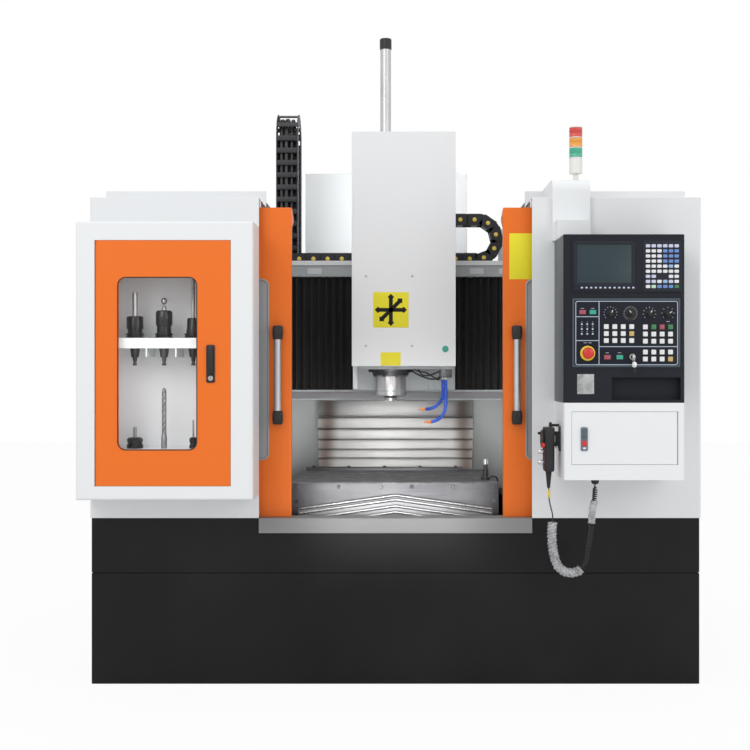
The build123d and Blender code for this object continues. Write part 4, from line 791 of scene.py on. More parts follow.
@dataclass
class Studio:
    """Camera at the photograph's place, pale floor and soft lamps."""

    camera_height: float = 1102.0
    camera_distance: float = 4500.0
    view_width: float = 2625.0
    sensor: float = 36.0
    shift: Pair = (-20.5 / 750.0, -6.0 / 750.0)
    sky: float = 0.80
    glow: float = 0.93
    reach: float = 14.0

    def build(self) -> None:
        """Makes the camera, world, floor and lamps, and shows colours as they are written."""
        bpy.context.scene.view_settings.view_transform = "Standard"
        self.add_camera()
        self.add_world()
        self.add_floor()
        for row in (
            ("key_lamp", (-2300, -3600, 3900), 2400, 52),
            ("fill_lamp", (3100, -3300, 2700), 2600, 30),
            ("top_lamp", (100, 500, 4300), 2600, 17),
            ("doorway_lamp", (0, -700, 720), 560, 0.62, (0, 1100, 760), 30),
            ("back_lamp", (-20, 740, 1800), 280, 1.9, (-40, 1200, 1740)),
        ):
            self.add_lamp(*row)
        for row in (
            ("cabinet_lamp", (-800, -160, 1120), 520, 0.27, (-800, 0, 1120)),
            ("left_wall_lamp", (-60, 120, 860), 260, 0.5, (-420, 520, 860), 60),
            ("right_wall_lamp", (60, 120, 860), 260, 0.5, (420, 520, 860), 60),
        ):
            self.add_lamp(*row).visible_glossy = False

    def add_camera(self) -> None:
        """Level camera: its lens is sensor width times distance over the width seen at that distance."""
        lens = bpy.data.cameras.new("camera")
        lens.sensor_width = self.sensor
        lens.lens = self.sensor * self.camera_distance / self.view_width
        lens.shift_x, lens.shift_y = self.shift
        lens.clip_end = 60.0
        camera = show("camera", lens)
        camera.location = to_row((0.0, -self.camera_distance, self.camera_height))
        camera.rotation_euler = (math.pi / 2, 0.0, 0.0)
        bpy.context.scene.camera = camera

    def add_world(self) -> None:
        """White where it is seen, mirrored or looked through, and a plainer level for its light."""
        world = bpy.data.worlds.new("studio")
        world.use_nodes = True
        bpy.context.scene.world = world
        tree = world.node_tree
        white = (1.0, 1.0, 1.0, 1.0)
        plain = tree.nodes["Background"]
        feed(plain, {"Color": white, "Strength": self.sky})
        ray = node(tree, "LightPath").outputs
        seen = calc(tree, "MAXIMUM", ray["Is Camera Ray"], ray["Is Glossy Ray"])
        seen = calc(tree, "MAXIMUM", seen, ray["Is Transmission Ray"])
        end_in_mix(tree.nodes["World Output"], seen, plain, node(tree, "Background", {"Color": white}))

    def add_floor(self) -> None:
        """Pale floor that keeps a soft shadow and is near white where it is seen."""
        mesh = bpy.data.meshes.new("floor")
        corners = self.reach * np.array([(-1.0, -1.0, 0.0), (1.0, -1.0, 0.0), (1.0, 1.0, 0.0), (-1.0, 1.0, 0.0)])
        mesh.from_pydata(corners.tolist(), [], [(0, 1, 2, 3)])
        material, tree, shader = new_material("floor")
        feed(shader, {"Base Color": (0.86, 0.86, 0.86, 1.0), "Roughness": 0.9})
        seen = calc(tree, "MULTIPLY", node(tree, "LightPath").outputs["Is Camera Ray"], self.glow)
        end_in_mix(tree.nodes["Material Output"], seen, shader, node(tree, "Emission"))
        mesh.materials.append(material)
        show("floor", mesh)

    def add_lamp(self, name: str, place: Triple, size: float, watts: float,
                 goal: Triple = (0, 650, 1100), spread: float = 180.0) -> bpy.types.Object:
        """Adds a square lamp.

        Args:
            name: its name.
            place: where it stands.
            size: its side in millimetres.
            watts: its power.
            goal: where it looks.
            spread: the cone that holds its light, in degrees.

        Returns:
            The lamp, which is never seen itself.
        """
        light = bpy.data.lights.new(name, "AREA")
        light.size = size * MM
        light.energy = watts
        light.spread = math.radians(spread)
        lamp = show(name, light)
        aim = to_row(goal) - to_row(place)
        lamp.visible_camera = False
        lamp.location = to_row(place)
        tilt = math.pi / 2 + math.atan2(aim[2], math.hypot(aim[0], aim[1]))
        lamp.rotation_euler = (tilt, 0.0, math.atan2(-aim[0], aim[1]))
        return lamp


@dataclass
class PendantCord:
    """Curled lead from the pendant's relief round to the gland under the white box."""

    depth: float = -150.0
    wire: float = 4.3
    coil_radius: float = 7.35
    pitch: float = 7.4
    turn_steps: int = 14
    lead_share: float = 0.17
    ease_share: float = 0.03
    film_thickness: float = 0.25
    route_steps: int = 400
    route: tuple[Pair, ...] = (
        (518, 700), (518, 672), (523.5, 640), (532.7, 608), (531, 583), (528.5, 547), (530, 506),
        (538, 463), (549.3, 432), (576, 413), (609, 412), (636.5, 431), (647, 462), (652, 497),
        (660, 534), (663, 575), (665, 620), (675, 668), (675, 712),
    )

    def build(self) -> None:
        """Makes the curled lead and the film that still wraps parts of it."""
        line = self.spline_points()
        curl = self.curl(line)
        data = self.nurbs("pendant_lead_curl", curl, 2)
        data.bevel_depth = self.wire / 2 * MM
        data.bevel_resolution = 2
        data.use_fill_caps = True
        data.materials.append(finish("cord_rubber"))
        piece = show("pendant_lead_curl", data)
        settle(piece, "machine_frame", "cord_rubber", "pendant_cord", "pendant_lead")
        self.wrap("lead_film", line[72:220], 14.6, 1.5)
        self.wrap("lead_film_end", line[318:366], 11.6, 0.9)

    def nurbs(self, name: str, places: np.ndarray, resolution: int) -> bpy.types.Curve:
        """Open NURBS curve of order 3 that starts and ends at its outer places.

        Args:
            name: the curve's name.
            places: its control points in millimetres.
            resolution: steps between two of them.

        Returns:
            The curve.
        """
        data = bpy.data.curves.new(name, "CURVE")
        data.dimensions = "3D"
        data.resolution_u = resolution
        spline = data.splines.new("NURBS")
        spline.points.add(len(places) - 1)
        spline.points.foreach_set("co", np.hstack([to_row(places), np.ones((len(places), 1))]).ravel())
        spline.order_u = 3
        spline.use_endpoint_u = True
        return data

    def spline_points(self) -> np.ndarray:
        """Reads the route's NURBS curve at even distances.

        Returns:
            Points as (x, depth, z) millimetres, of shape (route_steps, 3).
        """
        x, z = np.array(self.route, float).T
        thing = show("route", self.nurbs("route", join(x, self.depth, z), 24))
        bpy.context.view_layer.update()
        mesh = bpy.data.meshes.new_from_object(thing)
        line = np.empty(len(mesh.vertices) * 3)
        mesh.vertices.foreach_get("co", line)
        bpy.data.objects.remove(thing)
        bpy.data.meshes.remove(mesh)
        line = line.reshape(-1, 3) / MM + (0.0, BASE_HALF_DEPTH, 0.0)
        return along(line, np.linspace(0.0, walk(line)[-1], self.route_steps))

    def curl(self, line: np.ndarray) -> np.ndarray:
        """Helix about the route, which opens out after the straight lead and closes at the gland.

        At share s of the route the point is p(s) + r(s) (cos a n - sin a b), where a grows by a full
        turn each pitch, n and b are square to the route, and r rises and falls smoothly at the ends.

        Args:
            line: the route's points.

        Returns:
            The helix's points.
        """
        total = walk(line)[-1]
        share = np.linspace(0.0, 1.0, int(total * (1.0 - self.lead_share) / self.pitch * self.turn_steps))
        middle = along(line, share * total)
        normal, binormal = square_to(middle, (0, 1, 0))
        rise = np.clip((share - self.lead_share) / self.ease_share, 0.0, 1.0)
        fall = np.clip((1.0 - share) / self.ease_share, 0.0, 1.0)
        radius = self.coil_radius * rise * rise * (3 - 2 * rise) * fall * fall * (3 - 2 * fall)
        angle = 2 * math.pi * np.clip(share * total - self.lead_share * total, 0.0, None) / self.pitch
        offset = np.cos(angle)[:, None] * normal - np.sin(angle)[:, None] * binormal
        keep = (share >= self.lead_share) | (np.arange(len(share)) % 9 == 0)
        return (middle + radius[:, None] * offset)[keep]

    def wrap(self, name: str, part: np.ndarray, mean: float, waver: float) -> None:
        """Crumpled film round a stretch: its radius wavers with sums of sines along and round it.

        Args:
            name: the piece's name.
            part: the stretch of the route.
            mean: mean radius.
            waver: how far each sine moves it.
        """
        step = np.arange(len(part))[:, None]
        around = circle(28)[None, :]
        ripple = (np.sin(step * 0.9 + 2 * around) + 0.8 * np.sin(step * 1.7 - 3 * around)
                  + 0.6 * np.sin(step * 0.37 + 5 * around + 1.3) + 0.5 * np.sin(step * 2.6 + 4 * around))
        radius = (mean + waver * ripple)[..., None]
        normal, binormal = square_to(part, (0, 1, 0))
        ring = np.cos(around)[..., None] * normal[:, None] - np.sin(around)[..., None] * binormal[:, None]
        maker = Maker(name, "film", "machine_frame", "cord_rubber")
        inner = part[:, None] + (radius - self.film_thickness) * ring
        maker.skin(np.concatenate([part[:, None] + radius * ring, inner[::-1]]), closed=True)
        maker.build(14.0)


@dataclass
class Enclosure:
    """Doors with their handles, window seals and bare plate."""

    door_face: float = 40.0
    door_window: Pair = (312.0, 630.0)
    window_middle_z: float = 1100.0
    edges: Pair = (-368.0, 381.0)
    window_inset: float = 84.0
    handle_inset: float = 46.0
    handle_span: Pair = (907.0, 1255.0)
    tube_depth: float = 16.0
    bracket_height: float = 49.0

    def build(self) -> None:
        """Makes what the two doors carry."""
        for name, edge, side in zip(("left", "right"), self.edges, (-1, 1)):
            middle = edge + side * (self.window_inset + self.door_window[0] / 2)
            seal = Maker(f"{name}_door_seal", "seal_grey", f"{name}_sliding_door", "black_plastic")
            seal.border((middle, self.door_face, self.window_middle_z), self.door_window, 20, 6, 3.2)
            seal.build()
            self.add_handle(name, edge + side * self.handle_inset)
        plate = Maker("door_plate", "plate_yellow", "right_sliding_door", "orange_paint")
        plate.slab(FRONT, (448, self.door_face, 1500), (92, 162), 0.6, 3, 0.25)
        plate.build()

    def add_handle(self, name: str, x: float) -> None:
        """Tube handle between two moulded end brackets.

        A bracket is a stack of rounded rectangles whose width and depth swell from the foot on the
        door to the socket that holds the tube.

        Args:
            name: the door's side.
            x: the tube's middle.
        """
        low, high = self.handle_span
        maker = Maker(f"{name}_door_handle", "aluminium black_plastic", f"{name}_sliding_door", "aluminium",
                      f"{name}_handle")
        length = high - low - 12
        maker.lathe(UP, (x, self.tube_depth, low + 6), (
            (11.7, 0), (12.5, 0.8), (12.5, length - 0.8), (11.7, length)), 40, 0)
        half_width = np.array([11.0, 14.5, 17.0, 18.0, 16.5, 14.5])[:, None]
        front = np.array([13.0, 6.0, 3.0, 2.2, 2.6, 3.6])[:, None]
        u, v = rounded_outline(2.0, 2.0, 0.5, 5).T
        for end, way in ((low, 1), (high, -1)):
            level = end + way * self.bracket_height * np.array([0.0, 0.02, 0.10, 0.55, 0.9, 1.0])[:, None]
            depth = (front + self.door_face) / 2 + (self.door_face - front) / 2 * v
            maker.skin(join(x + half_width * u, depth, level), 1)
        maker.build()


@dataclass
class Console:
    """Dark console with its screen unit, keys, operator panel, knobs and switches.

    In the rows of keys each digit is the finish number of a key, and 0 leaves it out.
    """

    face: float = -245.0
    panel_face: float = -249.0
    keys: tuple[str, ...] = (
        "555555", "333444", "333444", "333444", "333363", "333333", "550033", "553653", "374448")
    knob_z: float = 1286.0
    knob_xs: tuple[float, ...] = (711.0, 777.0, 840.0, 901.0)
    stop: Pair = (635.0, 1154.0)
    lock: Pair = (783.0, 1142.0)

    def build(self) -> None:
        """Makes the control unit, the panel and what turns or moves in it."""
        self.add_unit()
        self.add_panel()
        self.add_stop()
        self.add_lock()
        for name, x, turn in (("feed", self.knob_xs[1], -38.0), ("speed", self.knob_xs[2], 28.0)):
            maker = Maker(f"{name}_dial_knob", "black_plastic white_plastic", f"{name}_dial", "black_plastic",
                          f"{name}_knob")
            self.knob(maker, x, turn, (0, 1))
            maker.build()
        self.add_shell()

    def add_unit(self) -> None:
        """Screen unit: bezel ring, sunk screen, soft keys and the keyboard in its colours."""
        maker = Maker("screen_unit", "console_dark unit_face screen key_white blue_key lavender_key light_blue_key "
                      "pale_green_key green_plastic", "machine_frame", "black_plastic", "nc_unit")
        maker.border((690.5, self.face - 2.6, 1450), (181, 128), 3, 12, 3.3, 1)
        for x, out, z, size, *shape in (
            (766.5, 0, 1444.5, (369, 181), 2.6, 4, 1, 0),
            (690.5, 2.2, 1450, (183, 130), 0.9, 2, 0.2, 2),
            (882, 2.2, 1442, (128, 168), 2.2, 3, 0.8, 1),
            (694, 2.2, 1371, (206, 14), 1.6, 2, 0.5, 1),
        ):
            maker.slab(FRONT, (x, self.face - out, z), size, *shape)
        maker.slab(FRONT, (0, self.face - 3.6, 0), (7, 5.2), 2.2, 1.2, 0.6, 5, block(616, 15.45, 12, 1371, 0, 1))
        places = block(834.5, 18.95, 6, 1509, 16.8, 9)
        slots = np.array([int(digit) for digit in "".join(self.keys)])
        for slot in range(3, 9):
            maker.slab(FRONT, (0, self.face - 4.2, 0), (14.6, 10.6), 3.6, 2.6, 1.1, slot, places[slots == slot])
        maker.build()

    def add_panel(self) -> None:
        """Operator panel: plate, pale rules, buttons, lamps, scales, fixed knobs and the rings of stop and lock."""
        maker = Maker("switch_panel", "panel_grey panel_navy panel_rule key_white amber_key green_plastic "
                      "teal_plastic yellow_plastic black_plastic zinc pink_plastic panel_mark",
                      "machine_frame", "black_plastic", "operator_panel")
        maker.slab(FRONT, (763.5, self.face, 1222), (357, 228), 3.4, 4, 0.9, 0)
        maker.slab(FRONT, (763.5, self.face - 3, 1222), (345, 216), 0.7, 4, 0.3, 1)
        front = self.face - 3.5
        maker.border((764.5, front, 1221), (334, 207), 5, 2.6, 0.45, 2)
        buttons = np.concatenate([block(696.5, 28, 4, 1242, 23, 3), block(825.6, 27.7, 4, 1241, 23.5, 3),
                                  block(825.6, 27.7, 4, 1158, 23, 2)])
        colours = np.full(32, 3)
        colours[[7, 13, 14, 15, 31]] = (4, 5, 10, 5, 4)
        wide = ((618, 1290), (652, 1290), (700, 1141), (741, 1141))
        lamps = block(616, 18, 3, 1250, 16, 3)
        rule, mark = (0.45, 0.3, 0.1, 2), (0.35, 0.2, 0.05, 11)
        for at, size, *shape in (
            (((673, 1221),), (2.6, 208), *rule),
            (((634.5, 1275), (634.5, 1196)), (76, 2.6), *rule),
            (((803, 1176),), (258, 2.6), *rule),
            (buttons, (19.6, 19.6), 0.9, 2, 0.3, 8),
            *((buttons[colours == slot], (15.6, 15.6), 5.4, 2.2, 1, slot) for slot in (3, 4, 5, 10)),
            (wide, (25, 18), 0.9, 1.6, 0.3, 8),
            (wide[::2], (21, 14), 5.4, 1.6, 0.9, 10),
            (wide[1::2], (21, 14), 5.4, 1.6, 0.9, 6),
            (lamps + (0, 7.2), (4.4, 1.2), *mark),
            (((618, 1302.5), (652, 1302.5), (700, 1155.5), (741, 1155.5), (627, 1188.5), (643, 1188.5),
              (901, 1259)), (11, 1.5), *mark),
        ):
            maker.slab(FRONT, (0, front, 0), size, *shape, at)
        maker.lathe(FRONT, (0, front, 0), (
            (3.2, 0), (3.2, 0.8), (2.2, 0.9), (1.9, 1.6), (0.9, 2.1), (0.01, 2.2)), 14, 11, lamps)
        dial = self.knob_xs[1]
        maker.lathe(FRONT, (dial, front, self.knob_z), ((25, 0), (25, 0.7), (17, 0.8), (5, 0.8), (5, 0)), 48, 8)
        for x, reach, count, radius, out, size, thickness in (
            (self.knob_xs[0], 130, 11, 21, 0, (1.3, 4.2), 0.35), (self.knob_xs[2], 130, 9, 20, 0, (1.3, 4.2), 0.35),
            (self.knob_xs[3], 130, 7, 20, 0, (1.3, 4.2), 0.35), (dial, 150, 21, 21.5, 0.7, (0.8, 3.4), 0.3),
        ):
            turns = np.radians(np.linspace(-reach, reach, count))
            maker.slab(FRONT, (0, front - out, 0), size, thickness, 0.2, 0.05, 11,
                       clock(turns, radius, (x, self.knob_z)), -turns)
        for x, turn in ((self.knob_xs[0], 24.0), (self.knob_xs[3], 62.0)):
            self.knob(maker, x, turn, (8, 3))
        for (x, z), sides, slot, profile in (
            (self.stop, 48, 7, ((21, 0), (24.6, 0.6), (25, 3), (24.4, 6), (22, 7.2), (10, 7.6), (8.4, 7.6), (8.4, 0))),
            (self.lock, 36, 9, ((10.4, 0), (10.6, 3.6), (9.8, 5.4), (7.2, 5.9), (6.4, 5.9), (6.4, 0))),
        ):
            maker.lathe(FRONT, (x, self.panel_face + 1, z), profile, sides, slot)
        maker.build()

    def knob(self, maker: Maker, x: float, turn: float, slots: tuple[int, int]) -> None:
        """Adds a skirted knob with a flat grip bar and a white pointer.

        Args:
            maker: the piece it goes into.
            x: its place in the row of knobs.
            turn: its clockwise turn in degrees.
            slots: finish numbers of the knob and of the pointer.
        """
        base = self.panel_face - 0.3
        turns = np.radians([turn])
        middle = (x, self.knob_z)
        maker.lathe(FRONT, (x, base, self.knob_z), (
            (12, 0), (12, 1.6), (11.4, 2.6), (9.4, 3.4), (8.8, 15), (7.8, 16.6), (0.01, 16.8)), 36, slots[0])
        maker.slab(FRONT, (0, base - 3, 0), (7.4, 22), 16.5, 2.8, 2, slots[0], (middle,), -turns)
        maker.slab(FRONT, (0, base - 19.4, 0), (2.4, 8.5), 0.5, 0.8, 0.2, slots[1], clock(turns, 6.5, middle), -turns)

    def add_stop(self) -> None:
        """Mushroom head: a domed turned shape with a collar under it."""
        maker = Maker("stop_mushroom", "red_plastic black_plastic", "stop_button", "red_plastic", "e_stop")
        place = (self.stop[0], self.panel_face - 13.5, self.stop[1])
        maker.lathe(FRONT, place, (
            (7.6, 0), (15.5, 0), (18.4, 1.6), (19, 4.4), (18.6, 7.6), (17, 10.6), (14, 12.6), (9, 13.7), (4, 14),
            (0.01, 14)), 56, 0)
        maker.lathe(BACK, place, ((7.6, 0), (7.6, 26), (0.01, 26)), 24, 1)
        maker.build(30.0)

    def add_lock(self) -> None:
        """Key in its lock: plug, flat blade, rounded bow with a hole, ring and a second key that hangs."""
        maker = Maker("lock_key_set", "black_plastic bright_steel", "lock_key", "bright_steel", "key_switch")
        front = self.panel_face - 5.2
        x, z = self.lock
        maker.lathe(FRONT, (x, front + 20, z), ((5.8, 0), (5.8, 20.6), (4.8, 21.2), (0.01, 21.2)), 24, 0)
        turn = circle(36)
        bow = join(x, front - 14.5 + 9 * np.cos(turn), z + 9.5 * np.sin(turn))
        maker.tube(bow, 2.0, 10, 1, (1, 0, 0), closed=True)
        maker.slab(RIGHT, (x - 1.2, front - 3.4, z), (11, 7.4), 2.4, 1.6, 0.7, 1)
        loop = join(x + 8.0 * np.sin(turn) * 0.4, front - 21 + 1.5 * np.cos(turn), z - 9 + 9 * np.cos(turn))
        maker.tube(loop, 0.8, 8, 1, (1, 0.2, 0), closed=True)
        maker.slab(FRONT, (785, front - 20, 1116), (15, 18), 2.2, 6, 0.8, 1)
        maker.slab(FRONT, (786, front - 20.2, 1100), (6, 18), 1.6, 1.5, 0.5, 0)
        maker.build()

    def add_shell(self) -> None:
        """Grey-blue left side sheet, and a bare silver plate with four screws."""
        side = Maker("console_side", "console_blue", "machine_frame", "console_paint")
        side.slab(LEFT, (557.2, -117, 1269), (232, 556), 0.9, 2, 0.3, 0)
        side.build()
        plate = Maker("console_plate", "plate_zinc zinc", "machine_frame", "console_paint")
        plate.slab(FRONT, (629, self.face, 1052), (56, 66), 1.2, 1, 0.3, 0)
        plate.lathe(FRONT, (629, self.face - 1.2, 1052), ((2.6, 0), (2.4, 0.9), (1.4, 1.3), (0.01, 1.4)), 14, 1,
                    block(-23.5, 47, 2, 28.5, 57, 2))
        plate.build()


@dataclass
class Head:
    """What the head carries: plates, button and screws on its cover, flange, sleeve, hoses and leads."""

    cover_face: float = 500.0
    spindle: Pair = (-20.0, 610.0)
    flange: Pair = (87.4, 12.3)
    bolt_circle: float = 66.3
    ring: Pair = (72.4, 11.1)
    bottom: float = 1101.0
    sleeve_radius: float = 60.9
    sleeve_bottom: float = 996.7
    hose_bend: float = 66.0
    nozzle: float = 26.0
    ball_pitch: float = 11.5

    def build(self) -> None:
        """Makes the cover's details, the casting's nose, the hoses, the leads and the tube."""
        self.add_cover_details()
        self.add_arrows()
        self.add_nose()
        self.add_hoses()
        self.add_leads()
        tube = Maker("balance_cylinder", "aluminium black_plastic", "head", "aluminium", "balance_tube")
        tube.lathe(UP, (-39, 600, 2026), (
            (21.2, 0), (23.4, 0.3), (23.4, 9), (21.5, 10.5), (21.3, 12), (21.3, 330), (21.5, 345)), 48, 0)
        tube.lathe(UP, (-39, 600, 2371), (
            (21, -4), (23.3, -3), (23.5, 0), (23.5, 34), (22.4, 38.6), (19, 40), (0.01, 40)), 48, 1)
        tube.build()

    def add_cover_details(self) -> None:
        """Four screws, the yellow plates and the green button on the cover's front."""
        maker = Maker("head_cover_details", "zinc plate_yellow teal_plastic", "head", "white_paint")
        face = self.cover_face
        maker.lathe(FRONT, (0, face, 0), ((4.6, 0), (4.5, 1), (3.4, 2.1), (1.9, 2.4), (1.9, 0.8), (0.01, 0.8)), 18, 0,
                    block(-115, 180, 2, 1463, 271, 2))
        maker.slab(FRONT, (-18, face, 1332), (138, 138), 0.7, 2, 0.25, 1)
        maker.slab(FRONT, (-19, face, 1141), (78, 52), 0.7, 1.5, 0.25, 1)
        maker.lathe(FRONT, (194, face, 1180), (
            (12.4, 0), (12.4, 1.8), (11.2, 2.8), (9.8, 2.8), (9.6, 3.6), (8.4, 5.2), (0.01, 5.6)), 36, 2)
        maker.build()

    def add_arrows(self) -> None:
        """Six plain arrows for the three axes: a bar and a head each, turned about the plate's middle."""
        maker = Maker("axis_arrows", "black_paint", "head", "white_paint")
        turns = np.radians([0.0, 90.0, 180.0, 270.0, 45.0, 225.0])
        middle = (-18.0, 1332.0)
        for size, *shape, out, chosen, more in (
            ((15, 50), 0.5, 1, 0.1, 25, turns, 0.0),
            ((18, 18), 0.52, 0.6, 0.1, 50, turns, math.pi / 4),
            ((15, 44), 0.54, 1, 0.1, 31, turns[4:], 0.0),
        ):
            maker.slab(FRONT, (0, self.cover_face - 0.7, 0), size, *shape, 0, clock(chosen, out, middle), more - chosen)
        maker.build()

    def add_nose(self) -> None:
        """Flange with its bolts and the ground sleeve below the casting, and the shaft's ring and drive keys."""
        maker = Maker("spindle_sleeve", "dark_steel sleeve_steel dark_steel", "head", "cast")
        x, depth = self.spindle
        radius, height = self.flange
        inner, start = self.ring[0], height + self.ring[1]
        sleeve = self.sleeve_radius
        maker.lathe(DOWN, (x, depth, self.bottom), (
            (radius, 0), (radius, height - 1.5), (radius - 1.5, height), (radius - 8, height), (inner, height),
            (inner, start - 1.2), (inner - 1.2, start), (sleeve, start)), 72, 0)
        length = self.bottom - start - self.sleeve_bottom
        # the sleeve's finish paints its highlight bands as vertical light and dark streaks
        maker.lathe(DOWN, (x, depth, self.bottom - start), (
            (sleeve - 0.6, 0), (sleeve, 1), (sleeve, length - 22), (sleeve - 1.6, length - 21),
            (sleeve - 1.6, length - 17), (sleeve, length - 16), (sleeve, length - 2), (sleeve - 2, length),
            (36, length), (36, length - 3)), 72, 1)
        maker.lathe(DOWN, (x, depth, self.bottom - start), (
            (5.4, -0.4), (5.4, 4.6), (4.6, 5.4), (2.9, 5.4), (2.9, 3), (0.01, 3)), 18, 2,
            self.bolt_circle * polar(np.radians(np.arange(8) * 45.0 + 22.5)))
        maker.build()
        shaft = Maker("spindle_nose", "dark_steel bright_steel", "spindle_shaft", "bright_steel")
        shaft.lathe(DOWN, (x, depth, 997), ((24.1, 0.5), (25.2, 1.5), (25.2, 8), (24.2, 9.5), (24.1, 9.5)), 48, 0)
        shaft.slab(DOWN, (x, depth, 977), (6, 8), 2.6, 0.8, 0.5, 1, ((20.3, 0), (-20.3, 0)))
        shaft.build()

    def add_hoses(self) -> None:
        """Jointed hoses: ball segments whose radius swells and shrinks along a curve, with cone nozzles.

        Along each hose the radius is the base radius plus a rounded bump once every segment, and the
        last part narrows in a cone to the nozzle's mouth.
        """
        maker = Maker("coolant_hose_pair", "hose_blue nozzle_orange zinc dark_steel", "head", "blue_plastic",
                      "coolant_hoses")
        bend = self.hose_bend
        turn = np.linspace(0.0, math.pi / 2, 40)
        for depth, reach, drop, tip in ((590.0, 188.0, 158.0, 92.0), (570.0, 198.0, 208.0, 113.0)):
            low = self.bottom - drop
            line = np.concatenate([
                join(reach, depth, np.linspace(1069.0, low + bend, 30)),
                join(reach - bend + bend * np.cos(turn), depth, low + bend - bend * np.sin(turn))[1:],
                join(np.linspace(reach - bend, tip, 24), depth, low)[1:]])
            joint = walk(line)[-1] - self.nozzle
            even = np.linspace(0.0, joint, 150)
            balls = 4.9 + 2.0 * np.sqrt(np.abs(np.sin(math.pi * even / self.ball_pitch)))
            maker.tube(along(line, even), balls, 16, 0)
            cone = along(line, joint + np.array([-1.0, 3.0, 5.0, 18.0, 25.0, 26.0]))
            maker.tube(cone, np.array([6.6, 6.6, 5.4, 3.4, 3.0, 2.4]), 16, 1)
            maker.lathe(DOWN, (reach, depth, 1068), ((9, -1), (9, 4), (7.6, 8), (7, 9), (5, 9)), 6, 2)
        maker.slab(DOWN, (198, 580, self.bottom), (47, 47), 33, 3, 1.6, 3)
        maker.build(50.0)

    def add_leads(self) -> None:
        """Three slack leads under the head, each a smooth curve through its hanging points."""
        for number, row in enumerate((
            ((60, 590, 1103), (78, 585, 1086), (112, 580, 1070), (150, 578, 1062), (176, 576, 1072),
             (180, 576, 1084)),
            ((64, 560, 1103), (92, 556, 1092), (118, 552, 1088), (146, 556, 1072), (168, 562, 1060),
             (178, 566, 1074)),
            ((90, 620, 1103), (104, 612, 1080), (130, 600, 1076), (158, 594, 1086), (178, 588, 1094)),
        )):
            maker = Maker(f"head_lead_{number + 1}", "cord_rubber", "head", "cord_rubber")
            maker.tube(smooth_path(row), 3.1, 12, 0, (0.1, 1, 0.05))
            maker.build()


